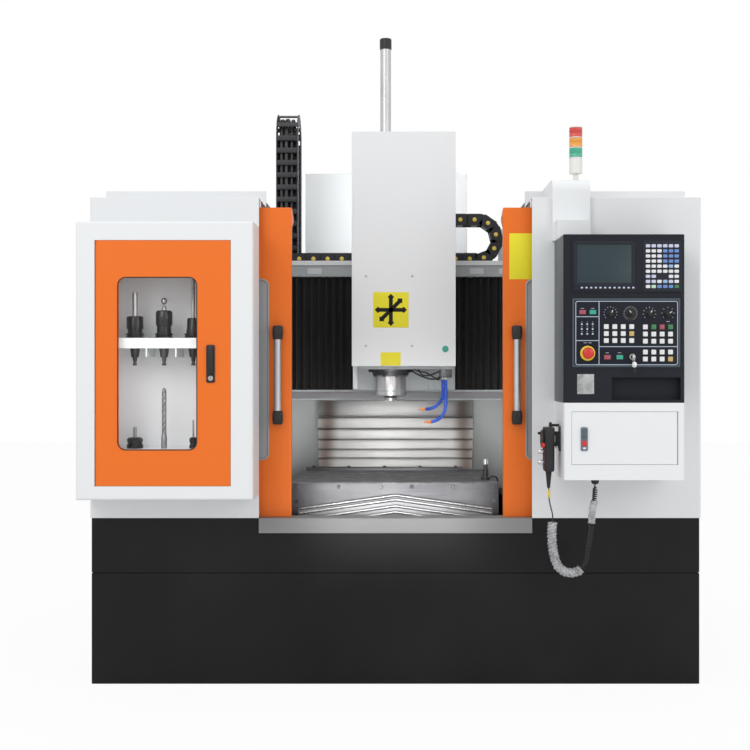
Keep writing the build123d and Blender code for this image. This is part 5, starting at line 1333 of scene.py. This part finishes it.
@dataclass
class Gantry:
    """Bellows, small pale plates and a strip of painted shade on the beam, saddle edge and the two cable chains."""

    saddle_sides: Pair = (-173.0, 241.0)
    bellows_length: float = 400.0
    pleats: int = 13
    bellows_span: Pair = (1017.6, 1476.4)
    crest: float = 736.5
    valley: float = 758.0
    bellows_back: float = 776.5
    bend: Triple = (332.0, 1551.3, 80.0)
    chain_front: float = 740.0
    chain_width: float = 80.0
    chain_legs: Pair = (870.0, 240.0)
    chain_link: Pair = (58.0, 50.0)
    riser_depth: float = 865.0
    riser_radius: float = 92.0
    riser_span: Pair = (1527.0, 2178.0)
    riser_link: Pair = (51.0, 44.0)
    riser_x: float = -451.0

    def build(self) -> None:
        """Makes the bellows, the beam's plates and its painted shade strip, the saddle edge and both chains."""
        for name, near, side in zip(("left", "right"), self.saddle_sides, (-1, 1)):
            self.add_bellows(name, near, side)
        trim = Maker("beam_trim", "pale_paint beam_grey", "machine_frame", "cast")
        trim.slab(FRONT, (0, 730, 1500), (58, 24), 2.2, 3, 1, 0, [(x, 0) for x in (-560, -470, -330, 330, 450, 540)])
        # dark strip along the beam's lower front: painted shade
        trim.slab(FRONT, (0, 730, 996), (1350, 30), 1.6, 1, 0.6, 1)
        trim.build()
        edge = Maker("saddle_edge", "white_paint", "cross_saddle", "cast")
        edge.slab(FRONT, (-163, 705, 1247), (18, 455), 2, 1.5, 0.8, 0)
        edge.build()
        self.add_travelling_chain()
        self.add_riser()

    def add_bellows(self, name: str, near: float, side: int) -> None:
        """Pleated curtain: depth is a zigzag of rounded folds along x, and the folds waver a little.

        Args:
            name: its side.
            near: its end at the saddle.
            side: -1 where it runs to the left, 1 where it runs to the right.
        """
        low, high = self.bellows_span
        share = np.linspace(0.0, 1.0, self.pleats * 10 + 1)
        fold = np.abs(((share * self.pleats) % 1.0) * 2 - 1)
        fold = fold * fold * (3 - 2 * fold)
        level = np.linspace(low, high, 25)[:, None]
        waver = 0.9 * np.sin(share * 61.0 + (level - low) / (high - low) * 9.0)
        depth = self.crest + 0.9 + (self.valley - self.crest - 2.0) * fold + waver * (0.3 + 0.7 * fold)
        front = join(near + side * (0.3 + self.bellows_length * share), depth, level)
        back = front.copy()
        back[..., 1] = self.bellows_back
        maker = Maker(f"{name}_pleats", "bellows_cloth")
        maker.skin(np.concatenate([front, back[:, ::-1]], axis=1))
        piece = maker.make(60.0)
        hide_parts(f"{name}_bellows")
        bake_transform(piece)
        LOG.info("%s stretches from the beam to the saddle", piece.name)

    def chain_line(self, first_leg: float, second_leg: float, radius: float, pitch: float,
                   lead: float) -> tuple[np.ndarray, np.ndarray]:
        """Middles and headings of links along a straight run, a half turn and a straight run back.

        Args:
            first_leg: length of the run that ends at the bend.
            second_leg: length of the run that leaves it.
            radius: the bend's middle radius.
            pitch: link pitch.
            lead: distance of the first link's middle from the run's start.

        Returns:
            Places as (along, up) from the bend's start, and headings in radians.
        """
        total = first_leg + math.pi * radius + second_leg
        walked = np.arange(lead, total - lead * 0.6, pitch)
        turn = np.clip((walked - first_leg) / radius, 0.0, math.pi)
        before = np.minimum(walked - first_leg, 0.0)
        after = np.maximum(walked - first_leg - math.pi * radius, 0.0)
        return np.stack([before + radius * np.sin(turn) - after, radius - radius * np.cos(turn)], axis=-1), turn

    def add_links(self, maker: Maker, facing: Facing, sides: Pair, origin: Triple, places: np.ndarray,
                  turns: np.ndarray, size: Pair) -> None:
        """Adds each link's two side plates, its overlapping lugs, pins and the two cross bars.

        Args:
            maker: the piece it goes into.
            facing: sideways direction of the chain.
            sides: where its near and far side plates stand along that direction.
            origin: place of the bend's start.
            places: middles of the links in the chain's plane.
            turns: headings of the links.
            size: link pitch and height.
        """
        pitch, height = size
        normal = np.array(facing.value[2], float)
        joints = places + pitch * 0.5 * polar(turns)
        for side, way in zip(sides, (1.0, -1.0)):
            base = np.asarray(origin) + normal * side
            lug = base + normal * 1.6 * way
            maker.slab(facing, base, (pitch * 1.05, height - 2), 3.4, height * 0.1, 0.8, 0, places, turns, 4, 1)
            maker.slab(facing, lug, (pitch * 0.62, height * 0.78), 3.8, height * 0.3, 0.8, 0, joints, turns, 4, 1)
            maker.lathe(facing, lug + normal * 3.0, ((height * 0.14, 0), (height * 0.13, 1.4), (0.01, 1.5)), 12, 0,
                        joints)
        across = np.stack([-np.sin(turns), np.cos(turns)], axis=-1)
        middle = np.asarray(origin) + normal * (sides[0] + 3.0)
        for way in (-1.0, 1.0):
            maker.slab(facing, middle, (pitch * 0.42, 5), abs(sides[1] - sides[0]) - 3, 1.6, 0.6, 0,
                       places + across * way * (height / 2 - 4), turns, 2, 1)

    def add_travelling_chain(self) -> None:
        """Moving chain on its tray, with its cables and yellow lock dots on the front side plates."""
        maker = Maker("travelling_links", "chain_plastic chain_yellow cord_rubber", "travelling_chain",
                      "chain_plastic", "x_chain")
        x, z, radius = self.bend
        front = self.chain_front
        pitch = self.chain_link[0]
        places, turns = self.chain_line(*self.chain_legs, radius, pitch, pitch / 2)
        self.add_links(maker, BACK, (front + 2, front + self.chain_width - 6.5), (x, 0, z), places, turns,
                       self.chain_link)
        maker.lathe(FRONT, (x, front + 2.2, z), ((8.6, -1), (8.6, 0.8), (7, 1.7), (0.01, 1.9)), 20, 1, places)
        for depth, up, size in ((760.0, -8.0, 9.0), (778.0, 4.0, 8.0), (798.0, -4.0, 10.0)):
            cable = join(places[:, 0] + x - up * np.sin(turns), depth, places[:, 1] + z + up * np.cos(turns))
            maker.tube(cable, size, 10, 2)
        maker.build()

    def add_riser(self) -> None:
        """Standing chain: two legs and a half turn over the top, with end ears, cables and a closing strip."""
        maker = Maker("standing_links", "chain_plastic zinc cord_rubber", "machine_frame", "chain_plastic",
                      "riser_chain")
        radius, depth = self.riser_radius, self.riser_depth
        low, high = self.riser_span
        top = high - radius - self.riser_link[1] / 2
        leg = top - low
        places, turns = self.chain_line(leg, leg, radius, self.riser_link[0], 26.0)
        places = places[:, ::-1]
        self.add_links(maker, RIGHT, (-496.5, -409.5), (0, depth, top), places, math.pi / 2 - turns,
                       self.riser_link)
        maker.slab(UP, (self.riser_x, depth, 1523.2), (92, 42), 3.2, 3, 0.8, 1, ((0, 0), (0, 2 * radius)))
        for x, size in ((-476.0, 8.0), (-455.0, 10.0), (-432.0, 7.0)):
            maker.tube(join(x, depth + places[:, 0], top + places[:, 1]), size, 10, 2, (1, 0, 0))
        for strip in (887.0, 1034.0):
            maker.slab(FRONT, (self.riser_x, strip, top - leg / 2), (88, leg), 1.2, 0.4, 0.2, 0)
        maker.build()


@dataclass
class Table:
    """The plate on the table's rear edge, its apron's bolts, the rear covers' lips, the front covers' painted highlight
    and shadow lines, and the touch probe.
    """

    top: float = 688.0
    probe: Pair = (336.0, 300.0)
    roof_slope: float = 8.0

    def build(self) -> None:
        """Makes what stands on the table and on the sliding covers."""
        self.add_table_trim()
        self.add_hood_lips()
        self.add_gable_edges()
        self.add_probe()

    def add_table_trim(self) -> None:
        """Plate on the rear edge and bolts in it and in the apron."""
        maker = Maker("table_trim", "pale_paint dark_steel apron_steel", "table", "steel")
        maker.slab(UP, (-45, 762, self.top), (640, 44), 12, 2, 1, 2)
        maker.lathe(UP, (-45, 762, self.top + 12), (
            (6.4, 0), (6.4, 5.2), (5.6, 6), (3.4, 6), (3.4, 2.6), (0.01, 2.6)), 18, 1, block(-290, 145, 5, 0, 0, 1))
        bolts = np.array([(-362, 673), (-210, 673), (-53, 673), (60, 673), (213, 673), (370, 673), (-365, 620),
                          (365, 620)]) * (0.985, 1.0)
        maker.lathe(FRONT, (0, 186, 0), (
            (7.4, 0), (7.4, 0.9), (6, 1.1), (5.6, 4.6), (4.6, 5.6), (2.7, 5.6), (2.7, 2.4), (0.01, 2.4)), 20, 1, bolts)
        maker.build()

    def add_hood_lips(self) -> None:
        """Rolled wiper lip along the front edge of each rear hood, on its own body.

        The section is a flattened ring, (0.4 s - 2 s where s > 0, 3.2 c) for the sine s and cosine c
        of the angle, drawn out along x.
        """
        bodies = ("table", *(f"rear_section_{number}" for number in range(2, 6)), "machine_frame")
        cos, sin = polar(circle(14)).T
        for index, (top, body) in enumerate(zip((733.0, 766.0, 804.0, 846.0, 893.0, 964.0), bodies)):
            front = 790.0 + 60.0 * index
            half = 309.0 + 5.0 * index
            maker = Maker(f"rear_hood_lip_{index + 1}", "sheet_steel", body, "steel")
            maker.skin(join(np.array([[-half], [half]]), front + 0.6 - 2.0 * sin * (sin > 0) + 0.4 * sin,
                            top - 4.0 + 3.2 * cos))
            if body == "machine_frame":
                maker.slab(FRONT, (0, front, 929), (678, 68), 0.9, 6, 0.3, 0)
            maker.build()

    def add_gable_edges(self) -> None:
        """Bright steel tube along each roofed front cover's edge as a painted highlight, with a black tube under it as
        a painted shadow line, on its own body.
        """
        for number, (half, peak, front, body) in enumerate((
            (349.0, 645.0, 160.0, "front_section_1"), (345.0, 632.0, 134.0, "front_section_2"),
            (341.0, 612.0, 108.0, "front_section_3"), (337.0, 593.0, 84.0, "machine_frame"),
        )):
            maker = Maker(f"gable_edge_{number + 1}", "bright_steel bolt_black", body, "steel")
            x = np.linspace(-half, half, 41)
            # slot 0 is the painted highlight on the edge, slot 1 the painted shadow line under it
            for slot, drop in ((0, 0.6), (1, 5.2)):
                level = peak - drop - np.abs(x) * math.tan(math.radians(self.roof_slope))
                maker.tube(join(x, front + 0.4, level), 2.1, 10, slot)
            maker.build()

    def add_probe(self) -> None:
        """Touch probe: round foot, body with a groove, pale cap and contact, and its lead to the rear."""
        maker = Maker("touch_probe", "bolt_black bright_steel", "table", "bright_steel", "tool_setter")
        maker.lathe(UP, (*self.probe, self.top), (
            (17, 0), (18, 1), (18, 10.5), (16.5, 12), (11, 13), (11, 26), (10, 27), (10, 29), (11, 30), (11, 40),
            (8.9, 41.2), (8.5, 43), (8.5, 58)), 32, 0)
        maker.lathe(UP, (*self.probe, self.top + 58), (
            (8.5, 0), (8.9, 0.5), (8.9, 14), (7.6, 19.5), (4.4, 21.6), (0.01, 22)), 32, 1)
        maker.build()
        lead = Maker("probe_lead", "cord_rubber", "table", "cord_rubber")
        lead.tube(smooth_path((
            (350, 302, 696), (358, 303, 700), (368, 305, 701), (377, 307, 697), (381.5, 309, 686), (382, 311, 668),
            (380, 316, 640))), 3.0, 10, 0, (0, 1, 0.1))
        lead.build()


@dataclass
class ToolCabinet:
    """Tools on the shelves, the window's seal and the swing latch with its key."""

    door_face: float = -184.0
    latch_x: float = -620.5
    tool_xs: Triple = (-893.0, -793.0, -693.0)
    tool_depth: float = -92.0
    shelf: float = 1207.0
    low_shelf: float = 830.0

    def build(self) -> None:
        """Makes the seal, the latch and the tools."""
        seal = Maker("cabinet_window_seal", "black_plastic", "tool_door", "black_plastic")
        seal.border((-800, self.door_face, 1120), (262, 576), 25, 3.6, 0.9)
        seal.build()
        self.add_latch()
        self.add_upper_tools()
        self.add_lower_tools()

    def add_latch(self) -> None:
        """Swing handle: sunk tray on its peg, thicker grip, and a slotted key cylinder below."""
        maker = Maker("cabinet_swing_handle", "black_plastic zinc bolt_black", "tool_door_latch", "black_plastic",
                      "cabinet_latch")
        x, face = self.latch_x, self.door_face
        maker.lathe(FRONT, (x, face - 0.1, 1168.5), ((9, 0), (9, 1.6)), 28, 0)
        maker.slab(FRONT, (x, face - 1.3, 1119.5), (29, 127), 2.6, 5, 1, 0)
        maker.slab(FRONT, (x, face - 3.6, 1131), (18, 92), 8, 6, 3, 0)
        maker.lathe(FRONT, (x, face - 3.6, 1071), (
            (8.6, 0), (8.6, 2.4), (7.4, 3.4), (6.4, 3.4), (6.2, 2.6), (0.01, 2.6)), 28, 1)
        maker.slab(FRONT, (x, face - 6, 1071), (1.8, 7), 0.5, 0.4, 0.1, 2)
        maker.build()

    def holder(self, maker: Maker, x: float, base: float, body: Sequence[Pair], cutter: Sequence[Pair]) -> None:
        """Adds a holder and its cutter, both turned, standing on a height."""
        maker.lathe(UP, (x, self.tool_depth, base), body, 40, 0)
        maker.lathe(UP, (x, self.tool_depth, base + body[-1][1] - 0.5), cutter, 24, 1)

    def drill(self, maker: Maker, x: float, base: float, length: float, radius: float) -> None:
        """Adds a twist drill: round section with two flutes, turned steadily as it rises.

        The radius is r (1 - 0.42 m), where m is how near the angle is to one of two opposite flutes
        that turn once every 5.2 r of height, and it narrows to a point over the last radius.

        Args:
            maker: the piece it goes into.
            x: its middle.
            base: height of its foot.
            length: its length.
            radius: its radius.
        """
        level = np.linspace(0.0, length, 90)[:, None]
        around = circle(24)
        flute = np.clip(np.cos(2 * (around - 2 * math.pi * level / (radius * 5.2))), 0.0, 1.0) ** 1.5
        size = radius * np.clip((length - level) / radius, 0.02, 1.0) * (1 - 0.42 * flute)
        maker.skin(join(x + size * np.cos(around), self.tool_depth + size * np.sin(around), base + level), 1)

    def add_upper_tools(self) -> None:
        """Three taper holders: grooved flange, shank and pull stud below the shelf, nut and cutter above."""
        maker = Maker("shelf_tools", "holder_black tool_steel dark_steel", "machine_frame", "dark_steel",
                      "upper_tools")
        flange = ((22.2, 0), (31.5, 0.2), (31.5, 4.6), (27, 7.6), (27, 9.2), (31.5, 12.2), (31.5, 16))
        for x, body, cutter in zip(self.tool_xs, (
            ((25, 17), (24.5, 30), (28.5, 33), (28.5, 71), (26, 75), (10, 75)),
            ((25, 17), (24, 40), (27, 44), (28.5, 50), (28.5, 88), (24, 95), (8, 95)),
            ((24, 18), (24, 28), (22, 34), (21, 66), (18, 70), (7, 70)),
        ), (
            ((9, 0), (9, 82), (7.6, 83), (0.01, 83)),
            ((8, 0), (7.4, 12), (4.2, 15), (4.2, 21), (8, 25), (10.6, 31), (10.6, 35), (8, 41), (4, 44), (0.01, 44.6)),
            ((6, 0), (6, 60), (6, 62)),
        )):
            self.holder(maker, x, self.shelf, (*flange, *body), cutter)
        self.drill(maker, self.tool_xs[2], self.shelf + 131.0, 89.0, 6.0)
        maker.lathe(UP, (0, 0, self.shelf - 93), (
            (7.5, 0), (7.5, 5), (5.4, 8), (5.4, 14), (7.5, 17), (7.5, 28), (12.7, 28), (22.2, 93), (15, 93.4)), 36, 2,
            [(x, self.tool_depth) for x in self.tool_xs])
        maker.build()

    def add_lower_tools(self) -> None:
        """Loose tools: a collet nut with a cutter, a long drill and a small chuck with a thin drill."""
        maker = Maker("loose_tools", "holder_black tool_steel", "machine_frame", "steel", "lower_tools")
        left, middle, right = self.tool_xs
        shelf = self.low_shelf
        self.holder(maker, left, shelf, (
            (26, 0), (28, 1), (28, 14), (24, 16), (24, 20), (27, 22), (27, 32), (20, 38), (8, 38)),
            ((6, 0), (6, 34), (4, 36.4), (0.01, 36.4)))
        maker.lathe(UP, (middle, self.tool_depth, shelf), ((9.6, 0), (10, 0.6), (10, 40), (8, 43), (8, 52)), 28, 1)
        self.drill(maker, middle, shelf + 51.0, 158.0, 8.0)
        self.holder(maker, right, shelf, (
            (13, 0), (14, 0.8), (14, 12), (11, 13), (11, 20), (13.6, 21), (13.6, 34), (9, 38), (4, 38)),
            ((3.5, 0), (3.5, 20), (3.5, 21)))
        self.drill(maker, right, shelf + 57.0, 43.0, 3.5)
        maker.build()


@dataclass
class SignalTower:
    """Three ribbed lenses with pale rings between them, on a turned stem."""

    axis: Pair = (645.0, 100.0)
    foot: float = 1766.0
    first_lens: float = 1855.0
    pitch: float = 36.3

    def build(self) -> None:
        """Makes the stem, rings, cap and lenses.

        A lens is a turned wall whose radius has a fine vertical ribbing, r + 0.25 cos(40 a).
        """
        x, depth = self.axis
        stem = Maker("tower_post", "white_plastic", "machine_frame", "white_plastic", "tower_stem")
        stem.lathe(UP, (*self.axis, self.foot), (
            (30, 0), (29.6, 2.4), (22, 6), (12, 11), (9, 17), (9, 33), (22, 34), (23.4, 35.4), (23.4, 86),
            (22.8, 88.8), (10, 89)), 44, 0)
        lens = Maker("tower_lens_stack", "lens_green lens_amber lens_red", "machine_frame", "lamp_plastic",
                     "tower_lenses")
        around = circle(160)
        level = np.array([2.8, 3.4, 17.6, 18.2, 18.8, 35.0, 35.5])[:, None]
        size = np.array([21.6, 23.0, 23.2, 22.6, 23.2, 23.0, 21.6])[:, None] + 0.25 * np.cos(40 * around)
        for number, high in enumerate((3.2, 3.2, 3.2, 3.4)):
            base = self.first_lens + self.pitch * number
            stem.lathe(UP, (*self.axis, base - 0.6), (
                (20, 0), (23.3, 0.2), (23.4, high * 0.5), (23.3, high), (19, high + 0.2), (0.01, high + 0.2)), 44, 0)
            if number < 3:
                lens.skin(join(x + size * np.cos(around), depth + size * np.sin(around), base + level), number)
        stem.build()
        lens.build(60.0)


@dataclass
class Pendant:
    """Hand unit with its wheel, selector knobs and stop, its holder, and the compartment's latch."""

    left: float = 500.0
    middle: float = 518.0
    box_side: float = 557.0
    depth: float = -150.0
    wheel_z: float = 866.0
    latch_face: float = -245.3

    def build(self) -> None:
        """Makes the body, holder, wheel, latch and gland."""
        self.add_body()
        self.add_wheel()
        latch = Maker("compartment_swing_latch", "latch_blue red_plastic white_plastic console_blue",
                      "storage_door_latch", "black_plastic", "compartment_latch")
        for out, z, size, *shape in (
            (0, 870, (23, 78), 4, 4, 1.4, 0),
            (4, 888, (15, 30), 6.4, 3, 2.2, 3),
            (4, 856, (15, 17), 4.6, 1.5, 1, 1),
            (4, 840, (10, 6), 3, 1, 0.6, 2),
        ):
            latch.slab(FRONT, (624.5, self.latch_face - out, z), size, *shape)
        latch.build()
        gland = Maker("cable_gland_nut", "black_plastic", "machine_frame", "black_plastic", "cord_gland")
        gland.lathe(DOWN, (675, self.depth, 734), ((14.6, 0), (15, 0.6), (15, 8.4), (14, 9)), 6, 0)
        gland.lathe(DOWN, (675, self.depth, 734), (
            (11, 8), (13, 9.4), (13, 15), (10, 20), (6, 22), (0.01, 22)), 32, 0)
        gland.build()
        self.add_holder()

    def add_body(self) -> None:
        """Waisted housing: rounded rectangles stacked up its height, with ribbed relief below."""
        maker = Maker("pendant_case", "black_plastic bright_steel red_plastic", "machine_frame", "black_plastic",
                      "pendant_body")
        level, width, deep = np.array([
            (757, 28, 66), (758.5, 32, 72), (764, 34, 76), (778, 34.5, 78), (800, 34.5, 78), (836, 34.5, 80),
            (850, 36, 90), (880, 36, 90), (898, 36, 88), (904, 34, 82), (906, 29, 72)]).T[:, :, None]
        u, v = rounded_outline(1.0, 1.0, 0.24, 5).T
        maker.skin(join(self.middle + width * u, self.depth + deep * v, level), 0)
        rib = np.linspace(0.0, 1.0, 29)
        radius = 5.2 + 5.6 * rib + 0.55 * np.sin(rib * math.pi * 18)
        maker.lathe(UP, (self.middle, self.depth, 700), [
            (4.2, 0), *zip(radius.tolist(), (0.5 + 57.5 * rib).tolist())], 26, 0)
        selectors = ((self.depth, 823), (self.depth, 787))
        for profile, slot, at in (
            (((11, -1), (11, 2), (8.2, 3), (8, 15), (7, 17.4), (0.01, 18)), 1, selectors),
            (((12.6, -1), (12.6, 1.2), (11, 1.8)), 0, selectors),
            (((7.4, -1), (7.4, 2), (9, 2.6), (9.2, 6), (7, 8.4), (0.01, 9)), 2, ((self.depth - 30, 846),)),
        ):
            maker.lathe(LEFT, (self.left + 0.6, 0, 0), profile, 26, slot, at)
        maker.lathe(LEFT, (self.left, self.depth, self.wheel_z), ((5, -1), (5, 8.2), (0.01, 8.2)), 20, 1)
        maker.build()
        tag = Maker("lead_tag", "yellow_plastic", "machine_frame", "cord_rubber")
        tag.lathe(UP, (519.4, self.depth, 668), ((3.2, 0), (4, 0.5), (4, 25.5), (3.2, 26)), 18, 0)
        tag.build()

    def add_holder(self) -> None:
        """Wall plate on the box's side, two arms to the pendant's back and an upright hook."""
        maker = Maker("pendant_hook", "black_plastic zinc", "machine_frame", "black_plastic", "pendant_holder")
        for out, z, size, *shape in (
            (0, 866, (30, 84), 5, 4, 1, 0),
            (2, 862, (18, 56), 14, 5, 2, 0),
            (4, 848, (14, 14), 20, 4, 1.5, 0),
            (4, 884, (14, 14), 20, 4, 1.5, 0),
            (4, 912, (16, 9), 34, 3, 1.2, 0),
        ):
            maker.slab(LEFT, (self.box_side - out, self.depth, z), size, *shape)
        maker.slab(UP, (self.box_side - 33, self.depth, 908), (9, 16), 14, 3, 1.2, 0)
        maker.lathe(FRONT, (self.box_side - 12, self.depth - 9, 838), ((4, -1), (4, 3), (0.01, 3.6)), 16, 1)
        maker.build()

    def add_wheel(self) -> None:
        """Pulse wheel: knurled rim, dished face, scale ring and the crank's grip.

        The rim's radius is r + 0.35 k cos(30 a), where k says how much each level is knurled.
        """
        maker = Maker("pulse_wheel_disc", "black_plastic panel_mark", "pulse_wheel", "black_plastic", "handwheel")
        around = circle(120)
        level, size, knurl = np.array([
            (0, 5.4, 0), (0.3, 28, 0.2), (2, 29.6, 1), (6.2, 29.6, 1), (7.8, 28.6, 0.3), (8, 26, 0), (7, 24, 0),
            (6.6, 5.4, 0)]).T[:, :, None]
        radius = size + 0.35 * knurl * np.cos(30 * around)
        maker.skin(join(self.left - 0.3 - level, self.depth + radius * np.cos(around),
                        self.wheel_z + radius * np.sin(around)), 0, True)
        turns = np.radians(np.arange(40) * 9.0)
        maker.slab(LEFT, (self.left - 7.9, 0, 0), (0.7, 2.6), 0.5, 0.2, 0.1, 1,
                   clock(turns, 25.0, (self.depth, self.wheel_z)), -turns, 1, 1)
        maker.lathe(LEFT, (self.left - 6.8, self.depth, self.wheel_z + 19), (
            (2.6, 0), (2.6, 1.6), (4.4, 2), (5, 4), (4.6, 9.6), (3.2, 12.2), (0.01, 12.4)), 22, 0)
        maker.build()


COATS = (
    ("black_paint", 2.5, "base_frame"),
    ("grey_paint", 1.2, "sill"),
    ("housing_white", 1.5, "left_housing right_housing"),
    ("cast_paint", 3.0, "gantry"),
    ("splash_paint", 0.0, "splash_walls"),
    ("table_steel", 1.0, "work_table"),
    ("apron_steel", 1.0, "front_apron"),
    ("shaded_roof_steel", 0.8, "front_cover_1 front_cover_2 front_cover_3"),
    ("sheet_steel", 0.8, "rear_cover_1 rear_cover_2 rear_cover_3 rear_cover_4 rear_cover_5"),
    ("cast_paint", 1.5, "saddle head_body"),
    ("white_paint", 1.5, "head_cover"),
    ("tool_steel", 0.0, "spindle"),
    ("white_paint", 1.0, "chain_tray"),
    ("white_paint", 2.0, "rear_cabinet"),
    ("white_paint", 1.5, "tool_cabinet"),
    ("orange_paint", 1.2, "cabinet_door"),
    ("clear_glass", 0.0, "cabinet_window"),
    ("orange_paint", 1.2, "left_door right_door"),
    ("grey_glass", 0.0, "left_window right_window"),
    ("console_dark", 1.5, "console_body"),
    ("white_paint", 1.5, "control_cabinet"),
    ("white_paint", 1.2, "compartment_door"),
    ("white_paint", 1.5, "cable_duct"),
)


def main() -> None:
    """Builds each sub-assembly in order, which reports its pieces, and then coats the solids that stay."""
    for assembly in (Studio, PendantCord, Enclosure, Console, Head, Gantry, Table, ToolCabinet, SignalTower, Pendant):
        assembly().build()
    for key, edge, solids in COATS:
        for solid in solids.split():
            coat(solid, key, edge)


if __name__ == "__main__":
    logging.basicConfig(level=logging.INFO, format="%(name)s %(message)s")
    main()
